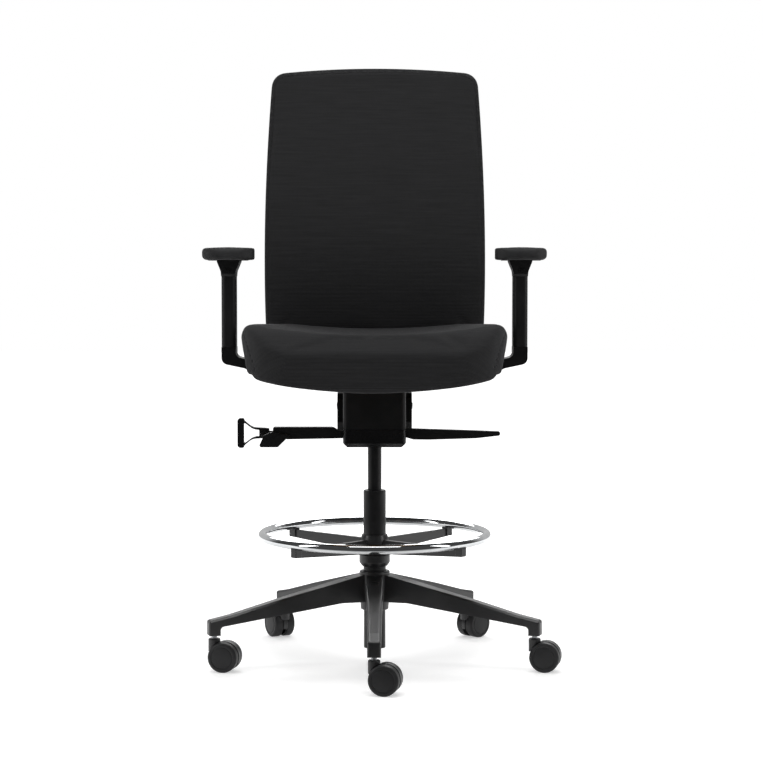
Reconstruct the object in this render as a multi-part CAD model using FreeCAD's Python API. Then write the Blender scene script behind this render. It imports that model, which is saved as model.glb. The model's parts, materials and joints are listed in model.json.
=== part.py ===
"""Drafting chair: five-star base on twin-wheel castors, gas column with foot ring,
synchro tilt mechanism, upholstered seat and back, and height-adjustable armrests.

Millimetres. +Z is up, the sitter faces -Y, and the origin is on the floor under the
column. "Left" and "right" are the sitter's, so left is +X.
"""
import math
import os

import FreeCAD, Part

Vector = FreeCAD.Vector

# ---- fits -----------------------------------------------------------------
RUNNING_FIT = 0.05        # radial play of a shaft that turns or slides in its bore
SLIDE_FIT = 0.4           # play of the armrest sleeve on its post, each side
BODY_GAP = 0.5            # air between pieces that move past each other

# ---- base -----------------------------------------------------------------
ARM_COUNT = 5
FIRST_ARM_DEG = -90.0     # one arm points straight forward
STEM_CIRCLE_R = 337.0     # castor stems stand on this circle
HUB_R = 28.25
HUB_BOTTOM = 108.0
HUB_TOP = 187.5
ARM_ROOT_HALF = 16.5      # half width of an arm at the hub
ARM_TIP_HALF = 13.2
ARM_EDGE_CHAMFER = 4.0
ARM_TOP_LINE = ((34.0, 186.5), (159.0, 150.0), (305.0, 111.0), (360.0, 100.0))
ARM_WALL = 4.5
ARM_TOP_SKIN = 6.0
ARM_RIBS = 2              # cross ribs in the hollow underside of each arm
RIB_THICK = 4.0
BOSS_BACK = 10.0          # end boss: reach from the stem axis towards the hub
BOSS_FRONT = 13.0         # and away from it
BOSS_BOTTOM = 72.0

# ---- castors --------------------------------------------------------------
WHEEL_R = 30.0
WHEEL_WIDTH = 18.5
WHEEL_RIM = 4.0
WHEEL_FACE = 3.5
WHEEL_HUB_R = 9.0
CASTOR_TRAIL = 22.0
HOOD_HALF = 4.5           # half thickness of the web between the wheels
HOOD_PROUD = 1.0          # the web stands this far above the treads
HOOD_LOW = 11.0           # the web ends this far below the axle
NECK_R = 12.0
NECK_TOP = 66.0
STEM_R = 5.5
STEM_SOCKET = 23.0        # depth of the stem in the arm boss
STEM_FOOT = 54.0          # lower end of the stem, inside the castor neck
AXLE_R = 4.0
AXLE_DEPTH = 14.5         # how far the axle enters each wheel
CASTORS = {               # arm number and the way the castor trails, in degrees
    "front": (0, -13.0),
    "front_left": (1, -13.0),
    "rear_left": (2, 43.0),
    "rear_right": (3, 119.0),
    "front_right": (4, -13.0),
}

# ---- column ---------------------------------------------------------------
COLUMN_R = 23.0
COLUMN_WALL = 2.0
COLUMN_BOTTOM = 29.0
COLUMN_TOP = 351.0
COLUMN_TAPER = 1.0        # loss of radius through the hub
CYLINDER_R = 14.0
CYLINDER_BORE_R = 11.5
CYLINDER_BOTTOM = 136.0
CYLINDER_TOP = 500.0
BUSH_LENGTH = 62.0
BUSH_LIP = 1.5
ROD_R = 5.0
ROD_TOP = 306.0
PISTON_LENGTH = 18.0
BEARING_R = 17.0
BEARING_HEIGHT = 9.0
PIN_R = 4.0
PIN_LENGTH = 30.0
PIN_PROUD = 6.0           # the valve pin stands this far above the cylinder

# ---- foot ring ------------------------------------------------------------
RING_R = 229.0
RING_TUBE_R = 9.0
RING_TUBE_WALL = 1.5
RING_Z = 261.0
SPOKE_COUNT = 4
FIRST_SPOKE_DEG = -42.0
SPOKE_HALF = 4.5
SPOKE_ROOT_BOTTOM = 223.0
SPOKE_END_BOTTOM = 237.0
SPIDER_R = 31.0
SPIDER_TOP_R = 26.0
SPIDER_BOTTOM = 222.0
SPIDER_TOP = 262.0
SADDLE_HALF = 7.0         # half width of the saddle that holds the tube
SADDLE_REACH = 8.5        # how far it reaches each way from the tube's centre line
SADDLE_LIP = 4.0          # how far it climbs the tube's sides
COLLAR_R = 31.5
COLLAR_NECK_R = 25.5
COLLAR_BOTTOM = 197.0
COLLAR_SHOULDER = 205.0

# ---- tilt mechanism -------------------------------------------------------
HOUSING_HALF = 62.5
HOUSING_FRONT = -102.0
HOUSING_REAR = 89.0
HOUSING_TOP = 560.0
HOUSING_WALL = 4.0
HOUSING_FLOOR = 453.0
HOUSING_FLOOR_THICK = 6.0
COVER_TOP = 484.0
COVER_BOTTOM = 448.0
COVER_WALL = 3.0
COVER_CHAMFER = 9.0
SOCKET_R = 20.0
TILT_Y = 38.0             # axis of the back's recline
TILT_Z = 522.0
TILT_SHAFT_R = 7.0
SPRING_WIRE_R = 2.4
SPRING_COIL_R = 11.0
SPRING_PITCH = 5.6
SPRING_TURNS = 5
SPRING_START = 10.0       # each coil starts this far from the middle
SEAT_PIVOT_Y = -82.0      # axis of the seat's tilt
SEAT_PIVOT_Z = 562.0
SEAT_PIVOT_R = 5.0

# ---- levers and crank -----------------------------------------------------
LEVER_Y = -56.0           # middle of the height lever
LEVER_HALF = 10.0
LEVER_PIVOT_X = -48.0
LEVER_PIVOT_Z = 476.0
LEVER_TIP_X = -204.0
LEVER_BOTTOM = 464.0
LEVER_TOP = 486.0
LEVER_WAIST_X = -70.0     # the bar is lower from here to its pivot
LEVER_WAIST_TOP = 478.0
PADDLE_BOTTOM = 446.0
PADDLE_TOP = 470.0
PADDLE_PROUD = 6.0        # the paddle stands this far ahead of the bar
FINGER_HALF = 4.0
FINGER_THICK = 6.0
LOCK_Y = -45.0            # middle of the tilt-lock lever
LOCK_HALF = 7.0
LOCK_PIVOT_X = 46.0
LOCK_PIVOT_Z = 471.0
LOCK_TIP_X = 253.0
LOCK_WAIST_X = 205.0      # the bar tapers most from here to its tip
LOCK_LOWEST = 459.6       # the belly of the bar, near the housing
LOCK_TIP_Z = 472.0
LOCK_CAM_TOP = 526.0
LEVER_BOSS_R = 8.0
LEVER_PIN_R = 3.0
CRANK_Y = -33.0
CRANK_Z = 472.0
CRANK_ROD_R = 4.5
CRANK_ROD_END = 30.0
CRANK_HUB_X = -213.0
CRANK_HUB_HALF = 10.0
CRANK_EYE_X = -233.0
CRANK_BAR_X = -264.0
CRANK_END_X = -277.0
CRANK_BAR_HALF = 30.0
CRANK_THICK = 7.0
NUT_HALF = 8.0
NUT_X = (-30.0, -10.0)
LOCK_PLATE_X = (-25.0, 41.0)
LOCK_PLATE_Z = (514.0, 530.0)
LOCK_TOOTH_X = (-18.0, -8.0, 2.0, 12.0)
LOCK_TOOTH = 4.0
SLOT_Z = (456.0, 490.0)   # windows in the side walls for the levers and the crank rod

# ---- seat -----------------------------------------------------------------
SEAT_HALF = 261.0
SEAT_FRONT = -278.0
SEAT_REAR = 170.0
SEAT_UNDERSIDE = 600.0
SEAT_LIP_BOTTOM = 568.0
SEAT_EDGE_TOP = 691.0
SEAT_DISH_TOP = 672.0     # lowest line of the dished top, along the middle
SEAT_REAR_TOP = 681.0
SEAT_FRONT_TOP = 643.0    # the upright front face ends here and the roll begins
SEAT_ROLL_DEPTH = 73.0    # the roll reaches this far back from the front
SEAT_ROLL_R = 165.0
SEAT_LIP_DEPTH = 57.0     # the cushion hangs over the pan's front edge by this much
SEAT_UNDER_HALF = 243.0
SEAT_SHOULDER_R = 20.0    # radius of the section's upper corners
PAN_THICK = 9.0
PAN_INSET = 60.0
PLATE_THICK = 4.0
PLATE_HALF = 95.0
PLATE_FRONT = -115.0
PLATE_REAR = 110.0
EAR_THICK = 4.5
EAR_REACH = 11.0
BOLT_R = 4.0
BOLT_HEAD_R = 6.5
BOLT_HEAD_HEIGHT = 5.0
BOLT_GRIP = 5.0           # how far each bolt enters the seat pan
PLATE_BOLTS = ((78.0, -80.0), (78.0, 85.0))

# ---- backrest -------------------------------------------------------------
BACK_HALF = 232.0
BACK_WIDEST_Z = 810.0
BACK_SIDE_RADIUS = 5326.0
BACK_BOTTOM = 655.0
BACK_TOP = 1226.0
BACK_TOP_CROWN = 9.0
BACK_CORNER = 30.0
BACK_PAD_THICK = 38.0
BACK_SHELL_THICK = 8.0
BACK_SHELL_INSET = 4.0
BACK_FRONT_LINE = ((190.0, 655.0), (172.0, 790.0), (185.0, 960.0), (232.0, 1226.0))
CARRIER_THICK = 12.5
CARRIER_GAP = 1.0         # between each side plate and the mechanism
CARRIER_HALF = HOUSING_HALF + CARRIER_GAP + CARRIER_THICK
CARRIER_FRONT = -5.0
CARRIER_TOP = 550.0
CARRIER_BOTTOM = 461.0
CARRIER_CROSS = (122.0, 152.0)
CARRIER_NOSE_Z = 492.0    # the side plates' front edge starts here, above a slanted foot
CARRIER_WAIST = (88.0, 520.0)
CARRIER_SHOULDER_Y = 60.0
UPRIGHT_HALF = 30.0
UPRIGHT_THICK = 12.0
UPRIGHT_GAP = 1.0         # between the upright and the lowest part of the shell
UPRIGHT_PAD = (-24.0, 24.0, 740.0, 880.0)   # seat for the shell: x0, x1, z0, z1
UPRIGHT_TOP = 890.0
UPRIGHT_SCREW_X = 16.0
UPRIGHT_SCREW_Z = (760.0, 860.0)
SCREW_R = 3.0
SCREW_HEAD_R = 5.5
SCREW_HEAD_HEIGHT = 3.5
SCREW_GRIP = 4.0          # how far each back screw enters the shell

# ---- armrests -------------------------------------------------------------
ARMREST_X = 295.0
POST_HALF_X = 9.5
POST_HALF_Y = 20.0
POST_TOP = 785.0
SLEEVE_HALF_X = 14.5
SLEEVE_HALF_Y = 28.0
SLEEVE_BOTTOM = 645.5
SLEEVE_NECK = 788.0
SLEEVE_FLARE = 798.0      # the head widens from here up to the pad
SLEEVE_TOP = 820.0
HEAD_HALF_X = 22.8
HEAD_FRONT = -32.0
HEAD_REAR = 40.0
SLEEVE_ROOF = 8.0
BRACKET_HALF_Y = 28.0
BRACKET_INNER_X = 110.0
BRACKET_THICK = 8.0
ELBOW_BOTTOM = 602.0      # the arm of the bracket beside the cushion, under the post
ELBOW_TOP = 621.0
ELBOW_X = 262.0           # where that arm starts to dive under the cushion
BRACKET_BOLTS = ((132.0, -14.0), (132.0, 14.0))
BUTTON_X = ARMREST_X + 2.5
BUTTON_HALF = 5.2
BUTTON_HEIGHT = 6.2
BUTTON_Z = 797.0
BUTTON_DEPTH = 12.0
BUTTON_PROUD = 3.5
BUTTON_TRAVEL = 3.0
BUTTON_FIT = 0.3
PAD_X = ARMREST_X - 5.0    # the pad sits a little inwards
PAD_HALF = 52.0
PAD_TAPER = 12.0          # the inner edge draws in this much towards the rear
PAD_FRONT = -130.0
PAD_REAR = 120.0
PAD_TOP = 847.0
PAD_CORNER = 30.0
PAD_PLATE_THICK = 4.0
PAD_PLATE_INSET = 12.0

UP = Vector(0, 0, 1)
ORIGIN = Vector(0, 0, 0)


# ---- plain shapes ---------------------------------------------------------
def box(x0, x1, y0, y1, z0, z1):
    return Part.makeBox(x1 - x0, y1 - y0, z1 - z0, Vector(x0, y0, z0))


def post(radius, z0, z1, x=0.0, y=0.0):
    return Part.makeCylinder(radius, z1 - z0, Vector(x, y, z0), UP)


def rod_x(radius, x0, x1, y, z):
    return Part.makeCylinder(radius, x1 - x0, Vector(x0, y, z), Vector(1, 0, 0))


def rod_y(radius, y0, y1, x, z):
    return Part.makeCylinder(radius, y1 - y0, Vector(x, y0, z), Vector(0, 1, 0))


def in_xz(u, v):
    return Vector(u, 0, v)


def in_yz(u, v):
    return Vector(0, u, v)


def in_xy(u, v):
    return Vector(u, v, 0)


def corner_arc(before, corner, after, radius):
    """The two ends and the middle of the arc that rounds a corner."""
    towards_before = (before - corner).normalize()
    towards_after = (after - corner).normalize()
    half_turn = towards_before.getAngle(towards_after) / 2
    bisector = (towards_before + towards_after).normalize()
    reach = radius / math.tan(half_turn)
    middle = corner + bisector * (radius / math.sin(half_turn) - radius)
    return corner + towards_before * reach, middle, corner + towards_after * reach


def outline(corners, plane):
    """A closed wire through corners (u, v, radius) in the given plane."""
    points = [plane(u, v) for u, v, radius in corners]
    edges = []
    ends = []
    for index, (u, v, radius) in enumerate(corners):
        here = points[index]
        if radius == 0:
            ends.append((here, here))
            continue
        following = points[(index + 1) % len(points)]
        start, middle, end = corner_arc(points[index - 1], here, following, radius)
        edges.append((index, Part.Arc(start, middle, end).toShape()))
        ends.append((start, end))
    for index, (start, end) in enumerate(ends):
        following = ends[(index + 1) % len(ends)][0]
        if (following - end).Length > 1e-6:
            edges.append((index + 0.5, Part.LineSegment(end, following).toShape()))
    edges.sort(key=lambda item: item[0])
    return Part.Wire([edge for place, edge in edges])


def prism(corners, plane, start, end):
    """An outline extruded square to its plane, from start to end."""
    normal = {in_xz: Vector(0, 1, 0), in_yz: Vector(1, 0, 0), in_xy: UP}[plane]
    face = Part.Face(outline(corners, plane))
    face.translate(normal * start)
    return face.extrude(normal * (end - start))


def turned(corners):
    """A solid of revolution about +Z from (radius, z, corner radius)."""
    return Part.Face(outline(corners, in_xz)).revolve(ORIGIN, UP, 360)


def spun(shape, degrees):
    copy = shape.copy()
    copy.rotate(ORIGIN, UP, degrees)
    return copy


def mirrored(shape):
    return shape.mirror(ORIGIN, Vector(1, 0, 0))


def joined(shapes):
    return shapes[0].fuse(shapes[1:]).removeSplitter()


def on_both_sides(corners):
    """Corners given for +X, repeated on -X in reverse to close an outline."""
    return list(corners) + [(-u, v, radius) for u, v, radius in reversed(corners)]


# ---- base -----------------------------------------------------------------
def arm_top(r):
    """Height of an arm's top at distance r from the column."""
    if r <= ARM_TOP_LINE[0][0]:
        return ARM_TOP_LINE[0][1]
    for (r0, z0), (r1, z1) in zip(ARM_TOP_LINE, ARM_TOP_LINE[1:]):
        if r <= r1:
            break
    return z0 + (z1 - z0) * (r - r0) / (r1 - r0)


def arm_section(r):
    """The arm's section at distance r: upright flanks and a chamfered top."""
    share = r / (STEM_CIRCLE_R + BOSS_FRONT)
    half = ARM_ROOT_HALF + (ARM_TIP_HALF - ARM_ROOT_HALF) * share
    top = arm_top(r)
    corners = [
        (-half, BOSS_BOTTOM), (-half, top - ARM_EDGE_CHAMFER), (ARM_EDGE_CHAMFER - half, top),
        (half - ARM_EDGE_CHAMFER, top), (half, top - ARM_EDGE_CHAMFER), (half, BOSS_BOTTOM)]
    points = [Vector(r, width, z) for width, z in corners]
    return Part.makePolygon(points + points[:1])


def arm_side_corners():
    tip = STEM_CIRCLE_R + BOSS_FRONT
    back = STEM_CIRCLE_R - BOSS_BACK
    return [
        (0.0, 125.0, 0), (75.0, 125.0, 60.0), (back, 89.0, 8.0), (back, BOSS_BOTTOM, 0),
        (tip, BOSS_BOTTOM, 2.0), (tip, arm_top(tip) + 0.5, 10.0), (0.0, arm_top(0.0) + 1, 0),
    ]


def arm_plan_corners():
    tip = STEM_CIRCLE_R + BOSS_FRONT
    return [
        (0.0, -ARM_ROOT_HALF - 1, 0), (tip, -ARM_TIP_HALF - 0.2, 6.0),
        (tip, ARM_TIP_HALF + 0.2, 6.0), (0.0, ARM_ROOT_HALF + 1, 0),
    ]


def arm_pockets():
    inner = 58.0
    outer = STEM_CIRCLE_R - BOSS_BACK - 12.0
    bay = (outer - inner - ARM_RIBS * RIB_THICK) / (ARM_RIBS + 1)
    half = ARM_TIP_HALF - ARM_WALL
    pockets = []
    for number in range(ARM_RIBS + 1):
        start = inner + number * (bay + RIB_THICK)
        end = start + bay
        corners = [
            (start, 60.0, 0), (end, 60.0, 0), (end, arm_top(end) - ARM_TOP_SKIN, 3.0),
            (start, arm_top(start) - ARM_TOP_SKIN, 3.0),
        ]
        pockets.append(prism(corners, in_xz, -half, half))
    return pockets


def base_arm():
    stations = [0.0] + [r for r, z in ARM_TOP_LINE[:-1]] + [STEM_CIRCLE_R + BOSS_FRONT]
    bar = Part.makeLoft([arm_section(r) for r in stations], True, True)
    side = prism(arm_side_corners(), in_xz, -ARM_ROOT_HALF - 1, ARM_ROOT_HALF + 1)
    plan = prism(arm_plan_corners(), in_xy, BOSS_BOTTOM - 1, HUB_TOP + 20)
    socket = post(STEM_R, BOSS_BOTTOM - 1, BOSS_BOTTOM + STEM_SOCKET, STEM_CIRCLE_R)
    return bar.common(side).common(plan).cut(arm_pockets() + [socket])


def arm_angle(number):
    return FIRST_ARM_DEG + number * 360.0 / ARM_COUNT


def column_taper(grow=0.0):
    """The tapered length of the column inside the hub."""
    return Part.makeCone(
        COLUMN_R - COLUMN_TAPER + grow, COLUMN_R + grow, HUB_TOP - HUB_BOTTOM,
        Vector(0, 0, HUB_BOTTOM), UP)


def base_star():
    arm = base_arm()
    arms = [spun(arm, arm_angle(number)) for number in range(ARM_COUNT)]
    hub = turned([
        (0.0, HUB_BOTTOM, 0), (HUB_R, HUB_BOTTOM, 2.0), (HUB_R + 1.5, 130.0, 0),
        (HUB_R + 3.0, HUB_TOP, 3.0), (0.0, HUB_TOP, 0)])
    return joined([hub] + arms).cut(column_taper())


def column_tube():
    bore = COLUMN_R - COLUMN_TAPER - COLUMN_WALL
    lower = COLUMN_R - COLUMN_TAPER
    tube = post(lower, COLUMN_BOTTOM, HUB_BOTTOM).fuse(column_taper())
    tube = tube.fuse(post(COLUMN_R, HUB_TOP, COLUMN_TOP))
    rod_hole = post(ROD_R + RUNNING_FIT, COLUMN_BOTTOM - 1, COLUMN_BOTTOM + 10)
    chamber = post(bore, COLUMN_BOTTOM + 5, COLUMN_TOP + 1)
    return tube.cut([rod_hole, chamber])


def column_bush():
    bore = COLUMN_R - COLUMN_TAPER - COLUMN_WALL
    sleeve = post(bore, COLUMN_TOP - BUSH_LENGTH, COLUMN_TOP)
    lip = post(COLUMN_R - 1.0, COLUMN_TOP, COLUMN_TOP + BUSH_LIP)
    hole = post(CYLINDER_R + RUNNING_FIT, COLUMN_TOP - BUSH_LENGTH - 1, COLUMN_TOP + BUSH_LIP + 1)
    return sleeve.fuse(lip).cut(hole)


def column_bearing():
    """Thrust bearing on the floor of the column, which carries the piston rod."""
    floor = COLUMN_BOTTOM + 5.0
    race = post(BEARING_R, floor, floor + BEARING_HEIGHT)
    return race.cut(post(ROD_R + RUNNING_FIT, floor - 1, floor + BEARING_HEIGHT + 1))


def piston_rod():
    floor = COLUMN_BOTTOM + 5.0 + BEARING_HEIGHT
    rod = post(ROD_R, COLUMN_BOTTOM + 1, ROD_TOP)
    washer = post(BEARING_R - 2, floor + BODY_GAP, floor + BODY_GAP + 3)
    piston = post(CYLINDER_BORE_R - RUNNING_FIT, ROD_TOP - PISTON_LENGTH, ROD_TOP)
    return joined([rod, washer, piston])


def castor_stems():
    stems = []
    for number in range(ARM_COUNT):
        stem = post(STEM_R, STEM_FOOT, BOSS_BOTTOM + STEM_SOCKET, STEM_CIRCLE_R)
        stems.append(spun(stem, arm_angle(number)))
    return Part.makeCompound(stems)


# ---- castors, built with the stem on the origin and the trail along +X ------
def wheel(side):
    """One wheel; side is +1 or -1 along the axle, measured from the web."""
    near = HOOD_HALF + BODY_GAP
    far = near + WHEEL_WIDTH
    bore = AXLE_R + RUNNING_FIT
    half = [
        (bore, near, 0), (WHEEL_HUB_R, near, 0.8), (WHEEL_HUB_R, far - WHEEL_FACE, 1.5),
        (WHEEL_R - WHEEL_RIM, far - WHEEL_FACE - 1.5, 1.5), (WHEEL_R - WHEEL_RIM, near, 0),
        (WHEEL_R, near, 1.5), (WHEEL_R, far - 3.0, 2.2), (WHEEL_R - 4.0, far, 4.0),
        (0.0, far + 1.0, 0), (0.0, near + AXLE_DEPTH + BODY_GAP, 0),
        (bore, near + AXLE_DEPTH + BODY_GAP, 0),
    ]
    solid = turned(half)
    solid.rotate(ORIGIN, Vector(1, 0, 0), -90 * side)
    solid.translate(Vector(CASTOR_TRAIL, 0, WHEEL_R))
    return solid


def axle():
    reach = HOOD_HALF + BODY_GAP + AXLE_DEPTH
    return rod_y(AXLE_R, -reach, reach, CASTOR_TRAIL, WHEEL_R)


def hood():
    disc = rod_y(WHEEL_R + HOOD_PROUD, -HOOD_HALF, HOOD_HALF, CASTOR_TRAIL, WHEEL_R)
    upper = box(-50, 80, -HOOD_HALF, HOOD_HALF, WHEEL_R - HOOD_LOW, 80)
    web = disc.common(upper)
    neck = turned([
        (0.0, 40.0, 0), (NECK_R, 40.0, 0), (NECK_R, NECK_TOP, 2.5), (0.0, NECK_TOP, 0)])
    room = [
        rod_y(WHEEL_R + HOOD_PROUD, side * 30 - 30 + side * HOOD_HALF, side * 30 + 30 + side * HOOD_HALF,
              CASTOR_TRAIL, WHEEL_R)
        for side in (-1, 1)
    ]
    neck = neck.cut(room)
    stem_hole = post(STEM_R + RUNNING_FIT, STEM_FOOT - BODY_GAP, NECK_TOP + 1)
    return joined([web, neck]).cut([stem_hole, axle()])


def castor_pieces():
    pieces = {}
    built = {"hood": hood(), "axle": axle(), "wheel_a": wheel(1), "wheel_b": wheel(-1)}
    for name, (arm, trail_deg) in CASTORS.items():
        stem = spun(Part.Vertex(STEM_CIRCLE_R, 0, 0), arm_angle(arm)).Point
        for kind, shape in built.items():
            copy = spun(shape, trail_deg)
            copy.translate(stem)
            pieces["castor_%s_%s" % (name, kind)] = copy
    return pieces


# ---- foot ring ------------------------------------------------------------
def spoke_angle(number):
    return FIRST_SPOKE_DEG + number * 360.0 / SPOKE_COUNT


def ring_screw():
    seat = SPOKE_END_BOTTOM + SCREW_HEAD_HEIGHT
    head = post(SCREW_HEAD_R, SPOKE_END_BOTTOM, seat, RING_R)
    shank = post(SCREW_R, seat, RING_Z - RING_TUBE_R + 5.0, RING_R)
    return head.fuse(shank).removeSplitter()


def foot_ring_tube():
    outer = Part.makeTorus(RING_R, RING_TUBE_R, Vector(0, 0, RING_Z))
    inner = Part.makeTorus(RING_R, RING_TUBE_R - RING_TUBE_WALL, Vector(0, 0, RING_Z))
    screws = [spun(ring_screw(), spoke_angle(number)) for number in range(SPOKE_COUNT)]
    return outer.cut([inner] + screws)


def spoke():
    top = RING_Z - RING_TUBE_R
    reach = RING_R + SADDLE_REACH
    blade = prism([
        (COLUMN_R + 3, SPOKE_ROOT_BOTTOM, 0), (reach, SPOKE_END_BOTTOM, 2.0),
        (reach, top, 0), (COLUMN_R + 3, top, 0)], in_xz, -SPOKE_HALF, SPOKE_HALF)
    saddle = prism([
        (RING_R - SADDLE_REACH, SPOKE_END_BOTTOM, 2.0), (reach, SPOKE_END_BOTTOM, 2.0),
        (reach, top + SADDLE_LIP, 2.0), (RING_R - SADDLE_REACH, top + SADDLE_LIP, 2.0)],
        in_xz, -SADDLE_HALF, SADDLE_HALF)
    return joined([blade, saddle])


def foot_ring_spider():
    hub = turned([
        (0.0, SPIDER_BOTTOM, 0), (SPIDER_R, SPIDER_BOTTOM, 1.5), (SPIDER_R, SPIDER_BOTTOM + 18, 6.0),
        (SPIDER_TOP_R, SPIDER_TOP, 1.0), (0.0, SPIDER_TOP, 0)])
    spokes = [spun(spoke(), spoke_angle(number)) for number in range(SPOKE_COUNT)]
    screws = [spun(ring_screw(), spoke_angle(number)) for number in range(SPOKE_COUNT)]
    tube = Part.makeTorus(RING_R, RING_TUBE_R, Vector(0, 0, RING_Z))
    bore = post(COLUMN_R + RUNNING_FIT, SPIDER_BOTTOM - 1, SPIDER_TOP + 1)
    return joined([hub] + spokes).cut([tube, bore] + screws)


def foot_ring_screws():
    return Part.makeCompound([spun(ring_screw(), spoke_angle(n)) for n in range(SPOKE_COUNT)])


def foot_ring_collar():
    top = SPIDER_BOTTOM - BODY_GAP
    collar = turned([
        (0.0, COLLAR_BOTTOM, 0), (COLLAR_NECK_R, COLLAR_BOTTOM, 1.0), (COLLAR_R, COLLAR_SHOULDER, 1.5),
        (COLLAR_R, top, 1.0), (0.0, top, 0)])
    return collar.cut(post(COLUMN_R + RUNNING_FIT, COLLAR_BOTTOM - 1, top + 1))


# ---- lift and mechanism -----------------------------------------------------
def gas_cylinder():
    body = turned([
        (0.0, CYLINDER_BOTTOM, 0), (CYLINDER_R, CYLINDER_BOTTOM, 1.5),
        (CYLINDER_R, CYLINDER_TOP, 1.5), (0.0, CYLINDER_TOP, 0)])
    chamber = post(CYLINDER_BORE_R, CYLINDER_BOTTOM + 8, CYLINDER_TOP - PIN_LENGTH - 10)
    rod_hole = post(ROD_R + RUNNING_FIT, CYLINDER_BOTTOM - 1, CYLINDER_BOTTOM + 9)
    pin_hole = post(PIN_R + RUNNING_FIT, CYLINDER_TOP - PIN_LENGTH - 11, CYLINDER_TOP + 1)
    return body.cut([chamber, rod_hole, pin_hole])


def release_pin():
    top = CYLINDER_TOP + PIN_PROUD
    bottom = top - PIN_LENGTH
    return turned([(0.0, bottom, 0), (PIN_R, bottom, 0.5), (PIN_R, top, 1.0), (0.0, top, 0)])


def lever_slot(sign):
    """Window in a side wall where a lever or the crank rod comes out."""
    if sign < 0:
        y0, y1 = LEVER_Y - LEVER_HALF - 2, CRANK_Y + CRANK_ROD_R + 2
    else:
        y0, y1 = LOCK_Y - LOCK_HALF - 2, LOCK_Y + LOCK_HALF + 2
    x0, x1 = sorted((sign * (HOUSING_HALF - HOUSING_WALL - 6), sign * (HOUSING_HALF + 5)))
    return box(x0, x1, y0, y1, SLOT_Z[0], SLOT_Z[1])


def mech_housing():
    inner = HOUSING_HALF - COVER_WALL
    front = HOUSING_FRONT + COVER_WALL
    rear = HOUSING_REAR - COVER_WALL
    lower = prism([
        (-inner, front, 8.0), (inner, front, 8.0), (inner, rear, 8.0), (-inner, rear, 8.0)],
        in_xy, HOUSING_FLOOR, COVER_TOP + 1)
    upper = prism([
        (-HOUSING_HALF, HOUSING_FRONT, 10.0), (HOUSING_HALF, HOUSING_FRONT, 10.0),
        (HOUSING_HALF, HOUSING_REAR, 10.0), (-HOUSING_HALF, HOUSING_REAR, 10.0)],
        in_xy, COVER_TOP, SEAT_PIVOT_Z + 10)
    side = prism([
        (HOUSING_FRONT - 1, HOUSING_FLOOR - 1, 0), (HOUSING_REAR + 1, HOUSING_FLOOR - 1, 0),
        (HOUSING_REAR + 1, HOUSING_TOP - 22, 0), (SEAT_PIVOT_Y + 14, HOUSING_TOP, 10.0),
        (SEAT_PIVOT_Y + 10, SEAT_PIVOT_Z + 10, 8.0), (HOUSING_FRONT - 1, SEAT_PIVOT_Z + 10, 8.0)],
        in_yz, -HOUSING_HALF - 1, HOUSING_HALF + 1)
    room_half = inner - HOUSING_WALL
    room = prism([
        (-room_half, front + HOUSING_WALL, 5.0), (room_half, front + HOUSING_WALL, 5.0),
        (room_half, rear - HOUSING_WALL, 5.0), (-room_half, rear - HOUSING_WALL, 5.0)],
        in_xy, HOUSING_FLOOR + HOUSING_FLOOR_THICK, HOUSING_TOP + 40)
    socket = post(SOCKET_R, HOUSING_FLOOR, CYLINDER_TOP - 4)
    tub = joined([lower, upper]).common(side).cut(room)
    tub = joined([tub, socket])
    holes = [
        post(CYLINDER_R, HOUSING_FLOOR - 1, CYLINDER_TOP + 1),
        rod_x(TILT_SHAFT_R, -HOUSING_HALF - 1, HOUSING_HALF + 1, TILT_Y, TILT_Z),
        rod_x(SEAT_PIVOT_R, -HOUSING_HALF - 1, HOUSING_HALF + 1, SEAT_PIVOT_Y, SEAT_PIVOT_Z),
        lever_slot(-1), lever_slot(1),
    ]
    pins = [lever_pin(LEVER_PIVOT_X, LEVER_PIVOT_Z, LEVER_Y, LEVER_HALF),
            lever_pin(LOCK_PIVOT_X, LOCK_PIVOT_Z, LOCK_Y, LOCK_HALF)]
    return joined([tub.cut(holes)] + pins)


def lever_pin(x, z, y, half):
    """Pivot pin and its two cheeks, standing on the housing floor."""
    pin = rod_y(LEVER_PIN_R, y - half - 4, y + half + 4, x, z)
    cheeks = []
    for start in (y - half - 4, y + half + 1):
        cheeks.append(box(x - 5, x + 5, start, start + 3, HOUSING_FLOOR + 1, z + 5))
    return joined([pin] + cheeks)


def mech_cover():
    half = HOUSING_HALF + 0.5
    front = HOUSING_FRONT - 0.5
    rear = HOUSING_REAR + 0.5
    plan = prism([
        (-half, front, 11.0), (half, front, 11.0), (half, rear, 11.0), (-half, rear, 11.0)],
        in_xy, COVER_BOTTOM, COVER_TOP - 0.5)
    across = prism(on_both_sides([
        (half + 1, COVER_TOP, 0), (half + 1, COVER_BOTTOM + COVER_CHAMFER + 1, 0),
        (half - COVER_CHAMFER, COVER_BOTTOM, 0)]), in_xz, front - 1, rear + 1)
    along = prism([
        (front - 1, COVER_TOP, 0), (rear + 1, COVER_TOP, 0), (rear + 1, COVER_BOTTOM + COVER_CHAMFER, 0),
        (rear - COVER_CHAMFER, COVER_BOTTOM, 0), (front + COVER_CHAMFER, COVER_BOTTOM, 0),
        (front - 1, COVER_BOTTOM + COVER_CHAMFER, 0)], in_yz, -half - 1, half + 1)
    inner = HOUSING_HALF - COVER_WALL
    room = prism([
        (-inner, HOUSING_FRONT + COVER_WALL, 8.0), (inner, HOUSING_FRONT + COVER_WALL, 8.0),
        (inner, HOUSING_REAR - COVER_WALL, 8.0), (-inner, HOUSING_REAR - COVER_WALL, 8.0)],
        in_xy, HOUSING_FLOOR, COVER_TOP + 1)
    hole = post(CYLINDER_R + 1.0, COVER_BOTTOM - 1, HOUSING_FLOOR + 1)
    return plan.common(across).common(along).cut([room, hole, lever_slot(-1), lever_slot(1)])


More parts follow.
